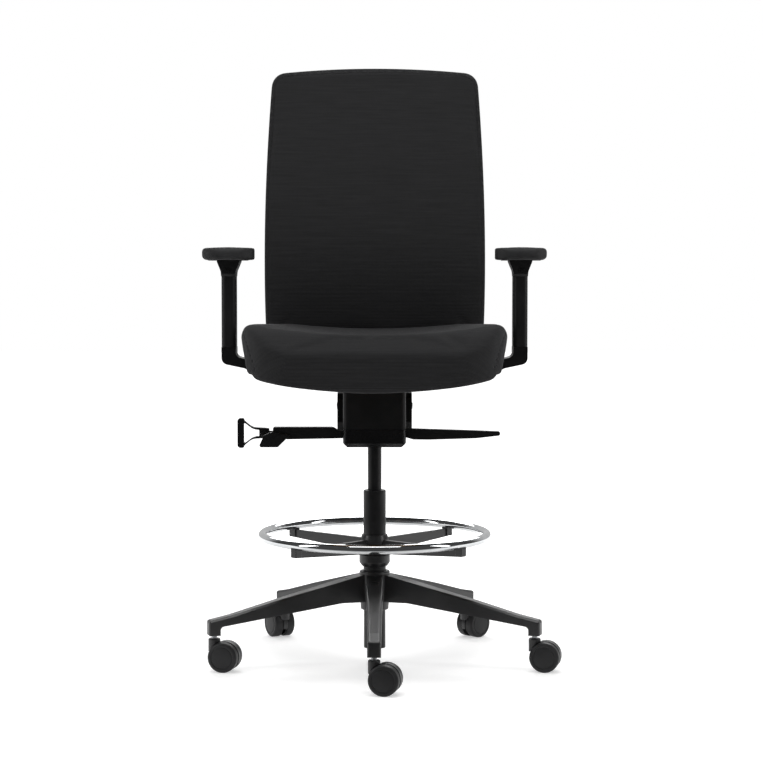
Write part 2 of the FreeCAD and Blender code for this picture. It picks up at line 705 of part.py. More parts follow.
def tilt_shaft():
    reach = CARRIER_HALF + 2.0
    shaft = rod_x(TILT_SHAFT_R, -reach, reach, TILT_Y, TILT_Z)
    return shaft.makeChamfer(1.0, [edge for edge in shaft.Edges if edge.Curve.TypeId == "Part::GeomCircle"])


def torsion_spring(start, sign):
    """A torsion spring wound on the tilt shaft, with one leg down to the floor."""
    coil = Part.makeHelix(SPRING_PITCH, SPRING_PITCH * SPRING_TURNS, SPRING_COIL_R)
    profile = Part.Wire(Part.makeCircle(SPRING_WIRE_R, Vector(SPRING_COIL_R, 0, 0), Vector(0, 1, 0)))
    wire = Part.Wire(coil).makePipeShell([profile], True, True)
    wire.rotate(ORIGIN, Vector(0, 1, 0), 90 * sign)
    wire.translate(Vector(start, TILT_Y, TILT_Z))
    return wire


def recline_springs():
    return Part.makeCompound([torsion_spring(SPRING_START, 1), torsion_spring(-SPRING_START, -1)])


def seat_pivot_shaft():
    return rod_x(SEAT_PIVOT_R, -HOUSING_HALF, HOUSING_HALF, SEAT_PIVOT_Y, SEAT_PIVOT_Z)


# ---- levers ---------------------------------------------------------------
def height_lever():
    """Moulded bar outside, a rocker on the pivot, and a finger over the valve pin."""
    finger_bottom = CYLINDER_TOP + PIN_PROUD + BODY_GAP
    finger_top = finger_bottom + FINGER_THICK
    bar = prism([
        (LEVER_PIVOT_X, LEVER_BOTTOM, 0), (LEVER_TIP_X + 28, LEVER_BOTTOM - 2.5, 4.0),
        (LEVER_TIP_X, LEVER_BOTTOM + 10, 0), (LEVER_TIP_X, LEVER_TOP, 3.0),
        (LEVER_WAIST_X - 14, LEVER_TOP, 14.0), (LEVER_WAIST_X, LEVER_WAIST_TOP, 5.0),
        (LEVER_PIVOT_X, LEVER_WAIST_TOP, 0)], in_xz, LEVER_Y - LEVER_HALF, LEVER_Y + LEVER_HALF)
    paddle = prism([
        (LEVER_TIP_X + 34, PADDLE_TOP, 0), (LEVER_TIP_X + 10, PADDLE_BOTTOM, 4.0),
        (LEVER_TIP_X - 29, PADDLE_BOTTOM, 4.0), (LEVER_TIP_X - 18, PADDLE_TOP, 5.0),
        (LEVER_TIP_X, PADDLE_TOP + 7, 0)], in_xz, LEVER_Y - LEVER_HALF - PADDLE_PROUD, LEVER_Y - 1)
    rocker = prism([
        (LEVER_PIVOT_X - LEVER_BOSS_R, LEVER_BOTTOM, 3.0), (LEVER_PIVOT_X + LEVER_BOSS_R, LEVER_BOTTOM, 3.0),
        (LEVER_PIVOT_X + 18, finger_bottom, 5.0), (FINGER_HALF, finger_bottom, 0),
        (FINGER_HALF, finger_top, 2.0), (LEVER_PIVOT_X + 10, finger_top, 8.0),
        (LEVER_PIVOT_X - LEVER_BOSS_R, LEVER_TOP, 4.0)], in_xz, LEVER_Y - LEVER_HALF, LEVER_Y + LEVER_HALF)
    finger = box(-FINGER_HALF, FINGER_HALF, LEVER_Y, FINGER_HALF + 1, finger_bottom, finger_top)
    hole = rod_y(LEVER_PIN_R + RUNNING_FIT, LEVER_Y - 30, LEVER_Y + 30, LEVER_PIVOT_X, LEVER_PIVOT_Z)
    return joined([bar, paddle, rocker, finger]).cut(hole)


def lock_lever():
    """Tapered bar outside, and a cam arm that stands up beside the lock plate."""
    bar = prism([
        (LOCK_PIVOT_X, LOCK_PIVOT_Z - 7, 0), (LOCK_PIVOT_X + 18, LOCK_PIVOT_Z - 7, 8.0),
        (LOCK_PIVOT_X + 32, LOCK_LOWEST + 0.4, 8.0), (LOCK_PIVOT_X + 64, LOCK_LOWEST, 200.0),
        (LOCK_WAIST_X, LOCK_LOWEST + 2.9, 60.0), (LOCK_TIP_X, LOCK_TIP_Z - 4, 3.6),
        (LOCK_TIP_X, LOCK_TIP_Z + 4, 3.6), (LOCK_WAIST_X, LOCK_TIP_Z + 6, 60.0),
        (LOCK_PIVOT_X, LOCK_PIVOT_Z + 12, 0)],
        in_xz, LOCK_Y - LOCK_HALF, LOCK_Y + LOCK_HALF)
    cam = prism([
        (LOCK_PIVOT_X - 4, LOCK_PIVOT_Z, 0), (LOCK_PIVOT_X + 4, LOCK_PIVOT_Z, 0),
        (LOCK_PIVOT_X + 4, LOCK_CAM_TOP, 3.5), (LOCK_PIVOT_X - 4, LOCK_CAM_TOP, 3.5)],
        in_xz, LOCK_Y - LOCK_HALF, LOCK_Y + LOCK_HALF)
    boss = rod_y(LEVER_BOSS_R, LOCK_Y - LOCK_HALF, LOCK_Y + LOCK_HALF, LOCK_PIVOT_X, LOCK_PIVOT_Z)
    hole = rod_y(LEVER_PIN_R + RUNNING_FIT, LOCK_Y - 30, LOCK_Y + 30, LOCK_PIVOT_X, LOCK_PIVOT_Z)
    return joined([bar, cam, boss]).cut(hole)


def lock_plate():
    z0, z1 = LOCK_PLATE_Z
    x0, x1 = LOCK_PLATE_X
    plate = box(x0, x1, LOCK_Y - 5, LOCK_Y + 5, z0, z1)
    notches = [box(x, x + LOCK_TOOTH, LOCK_Y - 6, LOCK_Y + 6, z1 - 5, z1 + 1) for x in LOCK_TOOTH_X]
    return plate.cut(notches)


def tension_crank():
    rod = rod_x(CRANK_ROD_R, CRANK_HUB_X - 2, CRANK_ROD_END, CRANK_Y, CRANK_Z)
    hub = rod_x(CRANK_HUB_HALF, CRANK_EYE_X + 3, CRANK_HUB_X, CRANK_Y, CRANK_Z)
    loop = prism([
        (CRANK_HUB_X - 3, CRANK_Z + CRANK_HUB_HALF, 1.0), (CRANK_EYE_X - 14, CRANK_Z + 11.5, 26.0),
        (CRANK_BAR_X + 1, CRANK_Z + 25.0, 1.5), (CRANK_BAR_X, CRANK_Z + CRANK_BAR_HALF, 4.0),
        (CRANK_END_X, CRANK_Z + CRANK_BAR_HALF, 6.2), (CRANK_END_X, CRANK_Z - CRANK_BAR_HALF, 6.2),
        (CRANK_BAR_X, CRANK_Z - CRANK_BAR_HALF, 4.0), (CRANK_BAR_X + 1, CRANK_Z - 25.0, 1.5),
        (CRANK_EYE_X - 14, CRANK_Z - 11.5, 26.0), (CRANK_HUB_X - 3, CRANK_Z - CRANK_HUB_HALF, 1.0)],
        in_xz, CRANK_Y - CRANK_THICK, CRANK_Y + CRANK_THICK)
    eye = prism([
        (CRANK_EYE_X, CRANK_Z + 6.5, 1.5), (CRANK_EYE_X - 12, CRANK_Z + 7.5, 26.0),
        (CRANK_BAR_X, CRANK_Z + 22.0, 2.0), (CRANK_BAR_X, CRANK_Z - 22.0, 2.0),
        (CRANK_EYE_X - 12, CRANK_Z - 7.5, 26.0), (CRANK_EYE_X, CRANK_Z - 6.5, 1.5)],
        in_xz, CRANK_Y - CRANK_THICK - 1, CRANK_Y + CRANK_THICK + 1)
    return joined([rod, hub, loop]).cut(eye)


def tension_nut():
    x0, x1 = NUT_X
    block = prism([
        (CRANK_Y - NUT_HALF, CRANK_Z - NUT_HALF, 2.0), (CRANK_Y + NUT_HALF, CRANK_Z - NUT_HALF, 2.0),
        (CRANK_Y + NUT_HALF, CRANK_Z + NUT_HALF, 2.0), (CRANK_Y - NUT_HALF, CRANK_Z + NUT_HALF, 2.0)],
        in_yz, x0, x1)
    return block.cut(rod_x(CRANK_ROD_R + RUNNING_FIT, x0 - 1, x1 + 1, CRANK_Y, CRANK_Z))


# ---- seat -----------------------------------------------------------------
def seat_plan_corners(inset=0.0):
    half = SEAT_HALF - inset
    front = SEAT_FRONT + inset
    rear = SEAT_REAR - inset
    return on_both_sides([
        (half - 56, front, 90.0 - inset), (half, front + 100, 190.0),
        (half, rear - 130, 200.0), (half - 40, rear, 60.0)])


def seat_cushion():
    plan = prism(seat_plan_corners(-0.5), in_xy, SEAT_LIP_BOTTOM - 10, SEAT_EDGE_TOP + 10)
    side = prism([
        (SEAT_FRONT + SEAT_LIP_DEPTH, SEAT_UNDERSIDE, 10.0), (SEAT_REAR + 1, SEAT_UNDERSIDE, 12.0),
        (SEAT_REAR + 1, SEAT_REAR_TOP, 30.0), (SEAT_FRONT + SEAT_ROLL_DEPTH, SEAT_EDGE_TOP + 1, SEAT_ROLL_R),
        (SEAT_FRONT, SEAT_FRONT_TOP, 14.0), (SEAT_FRONT + 3, SEAT_LIP_BOTTOM, 12.0),
        (SEAT_FRONT + SEAT_LIP_DEPTH - 12, SEAT_LIP_BOTTOM, 8.0)], in_yz, -SEAT_HALF - 1, SEAT_HALF + 1)
    return plan.common(side).common(seat_front_view())


def seat_front_view():
    """The seat's section across: dished top, leaning sides, boat-shaped bottom."""
    under = SEAT_UNDER_HALF
    low_z = SEAT_LIP_BOTTOM + 27.0
    rim = SEAT_HALF - SEAT_SHOULDER_R
    lean = SEAT_SHOULDER_R * (1 - math.sqrt(0.5))
    shoulder_z = SEAT_EDGE_TOP - SEAT_SHOULDER_R
    edges = [
        Part.Arc(in_xz(-rim, SEAT_EDGE_TOP), in_xz(0, SEAT_DISH_TOP), in_xz(rim, SEAT_EDGE_TOP)),
        Part.Arc(in_xz(rim, SEAT_EDGE_TOP), in_xz(SEAT_HALF - lean, SEAT_EDGE_TOP - lean),
                 in_xz(SEAT_HALF, shoulder_z)),
        Part.LineSegment(in_xz(SEAT_HALF, shoulder_z), in_xz(under + 4, low_z + 12)),
        Part.Arc(in_xz(under + 4, low_z + 12), in_xz(under + 1, low_z + 3), in_xz(under - 8, low_z - 2)),
        Part.Arc(in_xz(under - 8, low_z - 2), in_xz(0, SEAT_LIP_BOTTOM), in_xz(8 - under, low_z - 2)),
        Part.Arc(in_xz(8 - under, low_z - 2), in_xz(-under - 1, low_z + 3), in_xz(-under - 4, low_z + 12)),
        Part.LineSegment(in_xz(-under - 4, low_z + 12), in_xz(-SEAT_HALF, shoulder_z)),
        Part.Arc(in_xz(-SEAT_HALF, shoulder_z), in_xz(lean - SEAT_HALF, SEAT_EDGE_TOP - lean),
                 in_xz(-rim, SEAT_EDGE_TOP)),
    ]
    face = Part.Face(Part.Wire([edge.toShape() for edge in edges]))
    face.translate(Vector(0, SEAT_FRONT - 5, 0))
    return face.extrude(Vector(0, SEAT_REAR - SEAT_FRONT + 10, 0))


def bolt(x, y, seat_z):
    """A hex-socket bolt that goes up from seat_z into the seat pan."""
    head = post(BOLT_HEAD_R, seat_z - BOLT_HEAD_HEIGHT, seat_z, x, y)
    shank = post(BOLT_R, seat_z, SEAT_UNDERSIDE - PAN_THICK + BOLT_GRIP, x, y)
    return head.fuse(shank).removeSplitter()


def plate_bolts():
    z = SEAT_UNDERSIDE - PAN_THICK - PLATE_THICK
    return [bolt(sign * x, y, z) for x, y in PLATE_BOLTS for sign in (-1, 1)]


def bracket_bolts(sign):
    z = SEAT_UNDERSIDE - PAN_THICK - BRACKET_THICK
    return [bolt(sign * x, y, z) for x, y in BRACKET_BOLTS]


def all_bolts():
    return plate_bolts() + bracket_bolts(1) + bracket_bolts(-1)


def seat_bolts():
    return Part.makeCompound(all_bolts())


def seat_pan():
    pan = prism(seat_plan_corners(PAN_INSET), in_xy, SEAT_UNDERSIDE - PAN_THICK, SEAT_UNDERSIDE)
    lip_rear = SEAT_FRONT + SEAT_LIP_DEPTH + 14
    lip = box(-SEAT_HALF, SEAT_HALF, SEAT_FRONT, lip_rear, SEAT_LIP_BOTTOM, SEAT_UNDERSIDE + 1)
    return pan.cut([lip] + all_bolts())


def seat_plate():
    top = SEAT_UNDERSIDE - PAN_THICK
    plate = prism([
        (-PLATE_HALF, PLATE_FRONT, 12.0), (PLATE_HALF, PLATE_FRONT, 12.0),
        (PLATE_HALF, PLATE_REAR, 12.0), (-PLATE_HALF, PLATE_REAR, 12.0)], in_xy, top - PLATE_THICK, top)
    outer = HOUSING_HALF - COVER_WALL - HOUSING_WALL - 1.5
    ears = []
    for sign in (-1, 1):
        x0, x1 = sorted((sign * outer, sign * (outer - EAR_THICK)))
        ears.append(prism([
            (SEAT_PIVOT_Y - EAR_REACH, SEAT_PIVOT_Z - EAR_REACH, 8.0),
            (SEAT_PIVOT_Y + EAR_REACH, SEAT_PIVOT_Z - EAR_REACH, 8.0),
            (SEAT_PIVOT_Y + EAR_REACH + 6, top - 1, 0), (SEAT_PIVOT_Y - EAR_REACH, top - 1, 0)],
            in_yz, x0, x1))
    hole = rod_x(SEAT_PIVOT_R + RUNNING_FIT, -PLATE_HALF, PLATE_HALF, SEAT_PIVOT_Y, SEAT_PIVOT_Z)
    return joined([plate] + ears).cut([hole] + plate_bolts())


# ---- backrest ---------------------------------------------------------------
def back_half_width(z, inset=0.0):
    return BACK_HALF - inset - (z - BACK_WIDEST_Z) ** 2 / (2 * BACK_SIDE_RADIUS)


def back_front_view(inset, y0, y1):
    """The backrest's outline seen from the front, extruded from y0 to y1."""
    bottom = BACK_BOTTOM + inset
    top = BACK_TOP - inset
    low, high = bottom + BACK_CORNER, top - BACK_TOP_CROWN - BACK_CORNER
    middle = (low + high) / 2

    def side(z):
        return back_half_width(z, inset)

    shoulder = side(high) - BACK_CORNER
    hip = side(low) - BACK_CORNER
    lean = BACK_CORNER * (1 - math.sqrt(0.5))
    shoulder_z = top - BACK_TOP_CROWN
    curves = []
    for sign in (1, -1):
        pieces = [
            Part.Arc(in_xz(sign * hip, bottom), in_xz(sign * (side(low) - lean), bottom + lean),
                     in_xz(sign * side(low), low)),
            Part.Arc(in_xz(sign * side(low), low), in_xz(sign * side(middle), middle),
                     in_xz(sign * side(high), high)),
            Part.Arc(in_xz(sign * side(high), high), in_xz(sign * (side(high) - lean), shoulder_z - lean),
                     in_xz(sign * shoulder, shoulder_z)),
        ]
        curves += pieces
    curves.append(Part.Arc(in_xz(-shoulder, shoulder_z), in_xz(0, top), in_xz(shoulder, shoulder_z)))
    curves.append(Part.LineSegment(in_xz(-hip, bottom), in_xz(hip, bottom)))
    edges = Part.sortEdges([curve.toShape() for curve in curves])[0]
    face = Part.Face(Part.Wire(edges))
    face.translate(Vector(0, y0, 0))
    return face.extrude(Vector(0, y1 - y0, 0))


def back_layer(near, far, inset):
    """The part of the backrest between two offsets behind its front line."""
    lines = []
    for offset in (near, far):
        curve = Part.BSplineCurve()
        curve.interpolate([in_yz(y + offset, z) for y, z in BACK_FRONT_LINE])
        lines.append(curve.toShape())
    low_y, low_z = BACK_FRONT_LINE[0]
    high_y, high_z = BACK_FRONT_LINE[-1]
    ends = [
        Part.LineSegment(in_yz(low_y + near, low_z), in_yz(low_y + far, low_z)).toShape(),
        Part.LineSegment(in_yz(high_y + near, high_z), in_yz(high_y + far, high_z)).toShape(),
    ]
    face = Part.Face(Part.Wire(Part.sortEdges(lines + ends)[0]))
    face.translate(Vector(-BACK_HALF - 1, 0, 0))
    slab = face.extrude(Vector(2 * BACK_HALF + 2, 0, 0))
    return slab.common(back_front_view(inset, 100.0, 400.0))


def back_cushion():
    return back_layer(0.0, BACK_PAD_THICK, 0.0)


def back_rear_offset():
    return BACK_PAD_THICK + BACK_SHELL_THICK


def back_shell():
    shell = back_layer(BACK_PAD_THICK, back_rear_offset(), BACK_SHELL_INSET)
    return shell.cut(back_screw_list())


def upright_face_y():
    """The upright's front face, just behind the lowest part of the shell."""
    return BACK_FRONT_LINE[0][0] + back_rear_offset() + UPRIGHT_GAP


def back_middle_y(z):
    """The front line's y at height z, between its two middle points."""
    (y0, z0), (y1, z1) = BACK_FRONT_LINE[1:3]
    return y0 + (y1 - y0) * ((z - z0) / (z1 - z0)) ** 2


def back_screw_list():
    """Screws along Y, heads behind the upright."""
    rear = upright_face_y() + UPRIGHT_THICK
    screws = []
    for z in UPRIGHT_SCREW_Z:
        for x in (-UPRIGHT_SCREW_X, UPRIGHT_SCREW_X):
            head = rod_y(SCREW_HEAD_R, rear, rear + SCREW_HEAD_HEIGHT, x, z)
            shank = rod_y(SCREW_R, back_middle_y(z) + back_rear_offset() - SCREW_GRIP, rear, x, z)
            screws.append(head.fuse(shank).removeSplitter())
    return screws


def back_screws():
    return Part.makeCompound(back_screw_list())


def carrier_plate(sign):
    x0, x1 = sorted((sign * CARRIER_HALF, sign * (CARRIER_HALF - CARRIER_THICK)))
    rear = CARRIER_CROSS[1]
    return prism([
        (CARRIER_FRONT, CARRIER_NOSE_Z, 6.0), (CARRIER_FRONT + 17, CARRIER_BOTTOM, 20.0),
        (rear, CARRIER_BOTTOM, 6.0), (rear, CARRIER_BOTTOM + 30, 6.0), CARRIER_WAIST + (30.0,),
        (CARRIER_SHOULDER_Y, CARRIER_TOP, 22.0), (CARRIER_FRONT, CARRIER_TOP, 18.0)], in_yz, x0, x1)


def upright():
    """Bar that runs back from the cross piece and turns up behind the shell."""
    front = upright_face_y()
    rear = front + UPRIGHT_THICK
    start = CARRIER_CROSS[0] + 5.0
    low = CARRIER_BOTTOM
    return prism([
        (start, low, 0), (rear, low, 46.0), (rear, UPRIGHT_TOP, 5.0), (front, UPRIGHT_TOP, 5.0),
        (front, low + 18, 34.0), (start, low + 18, 0)], in_yz, -UPRIGHT_HALF, UPRIGHT_HALF)


def back_carrier():
    y0, y1 = CARRIER_CROSS
    inner = CARRIER_HALF - 1.0
    cross = box(-inner, inner, y0, y1, CARRIER_BOTTOM, CARRIER_BOTTOM + 26)
    x0, x1, z0, z1 = UPRIGHT_PAD
    pad = box(x0, x1, BACK_FRONT_LINE[1][0] + BACK_PAD_THICK / 2, upright_face_y() + 1, z0, z1)
    pad = pad.cut(back_layer(0.0, back_rear_offset(), 0.0))
    body = joined([carrier_plate(-1), carrier_plate(1), cross, upright(), pad])
    hole = rod_x(TILT_SHAFT_R + RUNNING_FIT, -CARRIER_HALF - 1, CARRIER_HALF + 1, TILT_Y, TILT_Z)
    return body.cut([hole] + back_screw_list())


# ---- armrests, built for +X -------------------------------------------------
def arm_bracket():
    bottom = SEAT_UNDERSIDE - PAN_THICK - BRACKET_THICK
    top = bottom + BRACKET_THICK
    outer = ARMREST_X + SLEEVE_HALF_X
    inner = ARMREST_X - SLEEVE_HALF_X
    shoulder = SLEEVE_BOTTOM - BODY_GAP
    elbow = prism([
        (BRACKET_INNER_X, bottom, 2.0), (ELBOW_X - 38, bottom, 20.0), (ELBOW_X - 16, bottom + 9, 12.0),
        (ELBOW_X, ELBOW_BOTTOM, 20.0), (outer, ELBOW_BOTTOM + 10, 14.0), (outer, shoulder, 0),
        (inner, shoulder, 0), (inner, ELBOW_TOP + 6, 9.0), (ELBOW_X, ELBOW_TOP, 8.0),
        (ELBOW_X - 8, ELBOW_TOP - 10, 6.0), (ELBOW_X - 12, top + 6, 6.0), (ELBOW_X - 32, top, 14.0),
        (BRACKET_INNER_X, top, 2.0)],
        in_xz, -BRACKET_HALF_Y, BRACKET_HALF_Y)
    tang = prism([
        (ARMREST_X - POST_HALF_X, -POST_HALF_Y, 4.0), (ARMREST_X + POST_HALF_X, -POST_HALF_Y, 4.0),
        (ARMREST_X + POST_HALF_X, POST_HALF_Y, 4.0), (ARMREST_X - POST_HALF_X, POST_HALF_Y, 4.0)],
        in_xy, shoulder - 5, POST_TOP)
    return joined([elbow, tang]).cut(bracket_bolts(1))


def sleeve_plan(half_x, half_y, corner):
    return [
        (ARMREST_X - half_x, -half_y, corner), (ARMREST_X + half_x, -half_y, corner),
        (ARMREST_X + half_x, half_y, corner), (ARMREST_X - half_x, half_y, corner)]


def button_shape(grow=0.0):
    front = HEAD_FRONT - BUTTON_PROUD
    room = BUTTON_TRAVEL + grow if grow else 0.0
    return box(
        BUTTON_X - BUTTON_HALF - grow, BUTTON_X + BUTTON_HALF + grow, front, front + BUTTON_DEPTH + room,
        BUTTON_Z - grow, BUTTON_Z + BUTTON_HEIGHT + grow)


def arm_sleeve():
    barrel = prism(sleeve_plan(SLEEVE_HALF_X, SLEEVE_HALF_Y, 9.0), in_xy, SLEEVE_BOTTOM, SLEEVE_NECK + 1)
    across = prism([
        (ARMREST_X - SLEEVE_HALF_X, SLEEVE_NECK, 0), (ARMREST_X + SLEEVE_HALF_X, SLEEVE_NECK, 0),
        (ARMREST_X + SLEEVE_HALF_X + 0.5, SLEEVE_FLARE, 18.0),
        (ARMREST_X + HEAD_HALF_X, SLEEVE_TOP - 2.5, 3.0), (ARMREST_X + HEAD_HALF_X, SLEEVE_TOP, 0),
        (ARMREST_X - HEAD_HALF_X, SLEEVE_TOP, 0), (ARMREST_X - HEAD_HALF_X, SLEEVE_TOP - 2.5, 3.0),
        (ARMREST_X - SLEEVE_HALF_X - 0.5, SLEEVE_FLARE, 18.0)],
        in_xz, HEAD_FRONT, HEAD_REAR)
    along = prism([
        (-SLEEVE_HALF_Y, SLEEVE_NECK, 0), (SLEEVE_HALF_Y, SLEEVE_NECK, 0), (HEAD_REAR, SLEEVE_TOP - 12, 8.0),
        (HEAD_REAR, SLEEVE_TOP, 0), (HEAD_FRONT, SLEEVE_TOP, 0), (HEAD_FRONT, SLEEVE_NECK + 5, 3.0)],
        in_yz, ARMREST_X - HEAD_HALF_X, ARMREST_X + HEAD_HALF_X)
    head = across.common(along)
    cavity = prism(
        sleeve_plan(POST_HALF_X + SLIDE_FIT, POST_HALF_Y + SLIDE_FIT, 4.0 + SLIDE_FIT), in_xy,
        SLEEVE_BOTTOM - 1, SLEEVE_TOP - SLEEVE_ROOF)
    return joined([barrel, head]).cut([cavity, button_shape(BUTTON_FIT)])


def arm_button():
    return button_shape()


def pad_corners(inset):
    inner = PAD_X - PAD_HALF + inset
    outer = PAD_X + PAD_HALF - inset
    corner = PAD_CORNER - inset / 2
    return [
        (inner, PAD_FRONT + inset, corner), (outer, PAD_FRONT + inset, corner),
        (outer, PAD_REAR - inset, corner), (inner + PAD_TAPER, PAD_REAR - inset, corner)]


def arm_pad_plate():
    return prism(pad_corners(PAD_PLATE_INSET), in_xy, SLEEVE_TOP, SLEEVE_TOP + PAD_PLATE_THICK)


def arm_pad():
    bottom = SLEEVE_TOP + PAD_PLATE_THICK
    plan = prism(pad_corners(0.0), in_xy, bottom - 5, PAD_TOP + 5)
    across = prism([
        (PAD_X - PAD_HALF - 1, bottom - 3, 9.0), (PAD_X + PAD_HALF + 1, bottom - 3, 12.0),
        (PAD_X + PAD_HALF + 1, PAD_TOP - 2, 10.0), (PAD_X, PAD_TOP, 300.0),
        (PAD_X - PAD_HALF - 1, PAD_TOP - 2, 9.0)], in_xz, PAD_FRONT - 1, PAD_REAR + 1)
    along = prism([
        (PAD_FRONT, bottom - 3, 8.0), (PAD_REAR, bottom - 3, 8.0), (PAD_REAR, PAD_TOP, 10.0),
        (PAD_FRONT, PAD_TOP, 12.0)], in_yz, PAD_X - PAD_HALF - 2, PAD_X + PAD_HALF + 2)
    plate = prism(pad_corners(PAD_PLATE_INSET), in_xy, bottom - 4, bottom)
    return plan.common(across).common(along).cut(plate)


def all_pieces():
    pieces = {
        "base_star": base_star(), "column_tube": column_tube(), "column_bush": column_bush(),
        "column_bearing": column_bearing(), "castor_stems": castor_stems(), "piston_rod": piston_rod(),
        "foot_ring_tube": foot_ring_tube(), "foot_ring_spider": foot_ring_spider(),
        "foot_ring_screws": foot_ring_screws(), "foot_ring_collar": foot_ring_collar(),
        "gas_cylinder": gas_cylinder(), "release_pin": release_pin(), "mech_housing": mech_housing(),
        "mech_cover": mech_cover(), "tilt_shaft": tilt_shaft(), "recline_springs": recline_springs(),
        "seat_pivot_shaft": seat_pivot_shaft(), "height_lever": height_lever(), "lock_lever": lock_lever(),
        "lock_plate": lock_plate(), "tension_crank": tension_crank(), "tension_nut": tension_nut(),
        "seat_plate": seat_plate(), "seat_pan": seat_pan(), "seat_cushion": seat_cushion(),
        "seat_bolts": seat_bolts(), "back_carrier": back_carrier(), "back_shell": back_shell(),
        "back_cushion": back_cushion(), "back_screws": back_screws(),
    }
    pieces.update(castor_pieces())
    for kind, shape in (("bracket", arm_bracket()), ("sleeve", arm_sleeve()), ("button", arm_button()),
                        ("pad_plate", arm_pad_plate()), ("pad", arm_pad())):
        pieces["arm_%s_left" % kind] = shape
        pieces["arm_%s_right" % kind] = mirrored(shape)
    return pieces


def main():
    os.makedirs("parts", exist_ok=True)
    for name, shape in all_pieces().items():
        shape.exportStep("parts/%s.step" % name)


main()
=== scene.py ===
"""Looks of a drafting chair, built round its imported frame.

Upholstery, moulded plastics, enamel, chrome, plywood, lamps and camera. Lengths are metres
unless a name ends in _mm. Every piece lies where the frame has the node it stands for.
"""

import json
import logging
import math
from dataclasses import dataclass
from enum import Enum
from typing import Any, Iterable, Sequence

import bmesh
import bpy
import numpy as np
from bpy.types import Material, Mesh, Node, NodeSocket, NodeTree, Object
from mathutils import Matrix, Vector
from mathutils.bvhtree import BVHTree
from mathutils.geometry import convex_hull_2d
from mathutils.kdtree import KDTree


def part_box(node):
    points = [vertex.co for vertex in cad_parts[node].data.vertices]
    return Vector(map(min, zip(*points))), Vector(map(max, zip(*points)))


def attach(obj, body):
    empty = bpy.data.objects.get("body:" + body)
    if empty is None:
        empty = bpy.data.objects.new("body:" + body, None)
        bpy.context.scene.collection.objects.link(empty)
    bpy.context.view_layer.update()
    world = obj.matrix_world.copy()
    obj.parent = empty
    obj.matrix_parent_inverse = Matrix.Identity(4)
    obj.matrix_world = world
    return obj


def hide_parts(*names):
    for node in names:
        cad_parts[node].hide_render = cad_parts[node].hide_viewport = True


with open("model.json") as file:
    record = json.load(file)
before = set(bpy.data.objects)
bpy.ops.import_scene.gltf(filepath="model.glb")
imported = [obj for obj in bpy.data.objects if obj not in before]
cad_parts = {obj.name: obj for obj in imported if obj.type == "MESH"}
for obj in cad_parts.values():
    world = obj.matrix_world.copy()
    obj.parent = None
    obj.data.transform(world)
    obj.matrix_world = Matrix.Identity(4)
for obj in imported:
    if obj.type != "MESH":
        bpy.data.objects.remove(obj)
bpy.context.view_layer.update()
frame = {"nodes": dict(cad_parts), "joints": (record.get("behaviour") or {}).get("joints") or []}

LOG = logging.getLogger("drafting_chair")
MM = 0.001
WHITE = (1, 1, 1, 1)


# ---- colour and nodes -------------------------------------------------------
def linear(hex_colour: str) -> tuple[float, float, float, float]:
    """Turns an sRGB hex colour to linear RGBA.

    Args:
        hex_colour: Six hex digits after a hash.

    Returns:
        Linear red, green, blue and an alpha of one.
    """
    parts = [int(hex_colour[i:i + 2], 16) / 255 for i in (1, 3, 5)]
    red, green, blue = (c / 12.92 if c <= 0.04045 else ((c + 0.055) / 1.055) ** 2.4 for c in parts)
    return red, green, blue, 1.0


class NodeSketch:
    """A node tree that is being drawn."""

    def __init__(self, tree: NodeTree) -> None:
        """Takes up a tree."""
        self.tree = tree

    def feed(self, node: Node, values: dict[Any, Any]) -> None:
        """Gives inputs of a node their values and links.

        Args:
            node: The node.
            values: Input name or index, and the value or the output socket it gets.
        """
        for key, value in values.items():
            if isinstance(value, NodeSocket):
                self.tree.links.new(value, node.inputs[key])
            else:
                node.inputs[key].default_value = value

    def add(self, kind: str, values: dict[Any, Any] | None = None, **settings: Any) -> Node:
        """Adds one node.

        Args:
            kind: Idname of the node.
            values: What its inputs get, as in feed.
            settings: Properties of the node.

        Returns:
            The new node.
        """
        node = self.tree.nodes.new(kind)
        for name, value in settings.items():
            setattr(node, name, value)
        self.feed(node, values or {})
        return node

    def calculate(self, operation: str, *values: Any) -> NodeSocket:
        """The result of a sum on numbers or sockets."""
        return self.add("ShaderNodeMath", dict(enumerate(values)), operation=operation).outputs[0]

    def mix(self, share: Any, first: Any, second: Any) -> NodeSocket:
        """A mix of two numbers or sockets; a share of one gives the second."""
        return self.add("ShaderNodeMix", {"Factor": share, "A": first, "B": second}).outputs[0]

    def place(self, label: str = "Object") -> NodeSocket:
        """The texture coordinates of that name."""
        return self.add("ShaderNodeTexCoord").outputs[label]

    def axis(self, vector: NodeSocket, label: str) -> NodeSocket:
        """One coordinate of a vector."""
        return self.add("ShaderNodeSeparateXYZ", {0: vector}).outputs[label]

    def ramp(self, value: NodeSocket, span: tuple[float, float],
             level: tuple[float, float]) -> NodeSocket:
        """A smooth step.

        Args:
            value: Socket with the value that drives it.
            span: Values at which the step starts and ends.
            level: Results before and after it.

        Returns:
            The result's socket.
        """
        step = self.add("ShaderNodeMapRange", {
            "Value": value, "From Min": span[0], "From Max": span[1],
            "To Min": level[0], "To Max": level[1]}, interpolation_type="SMOOTHSTEP")
        return step.outputs[0]


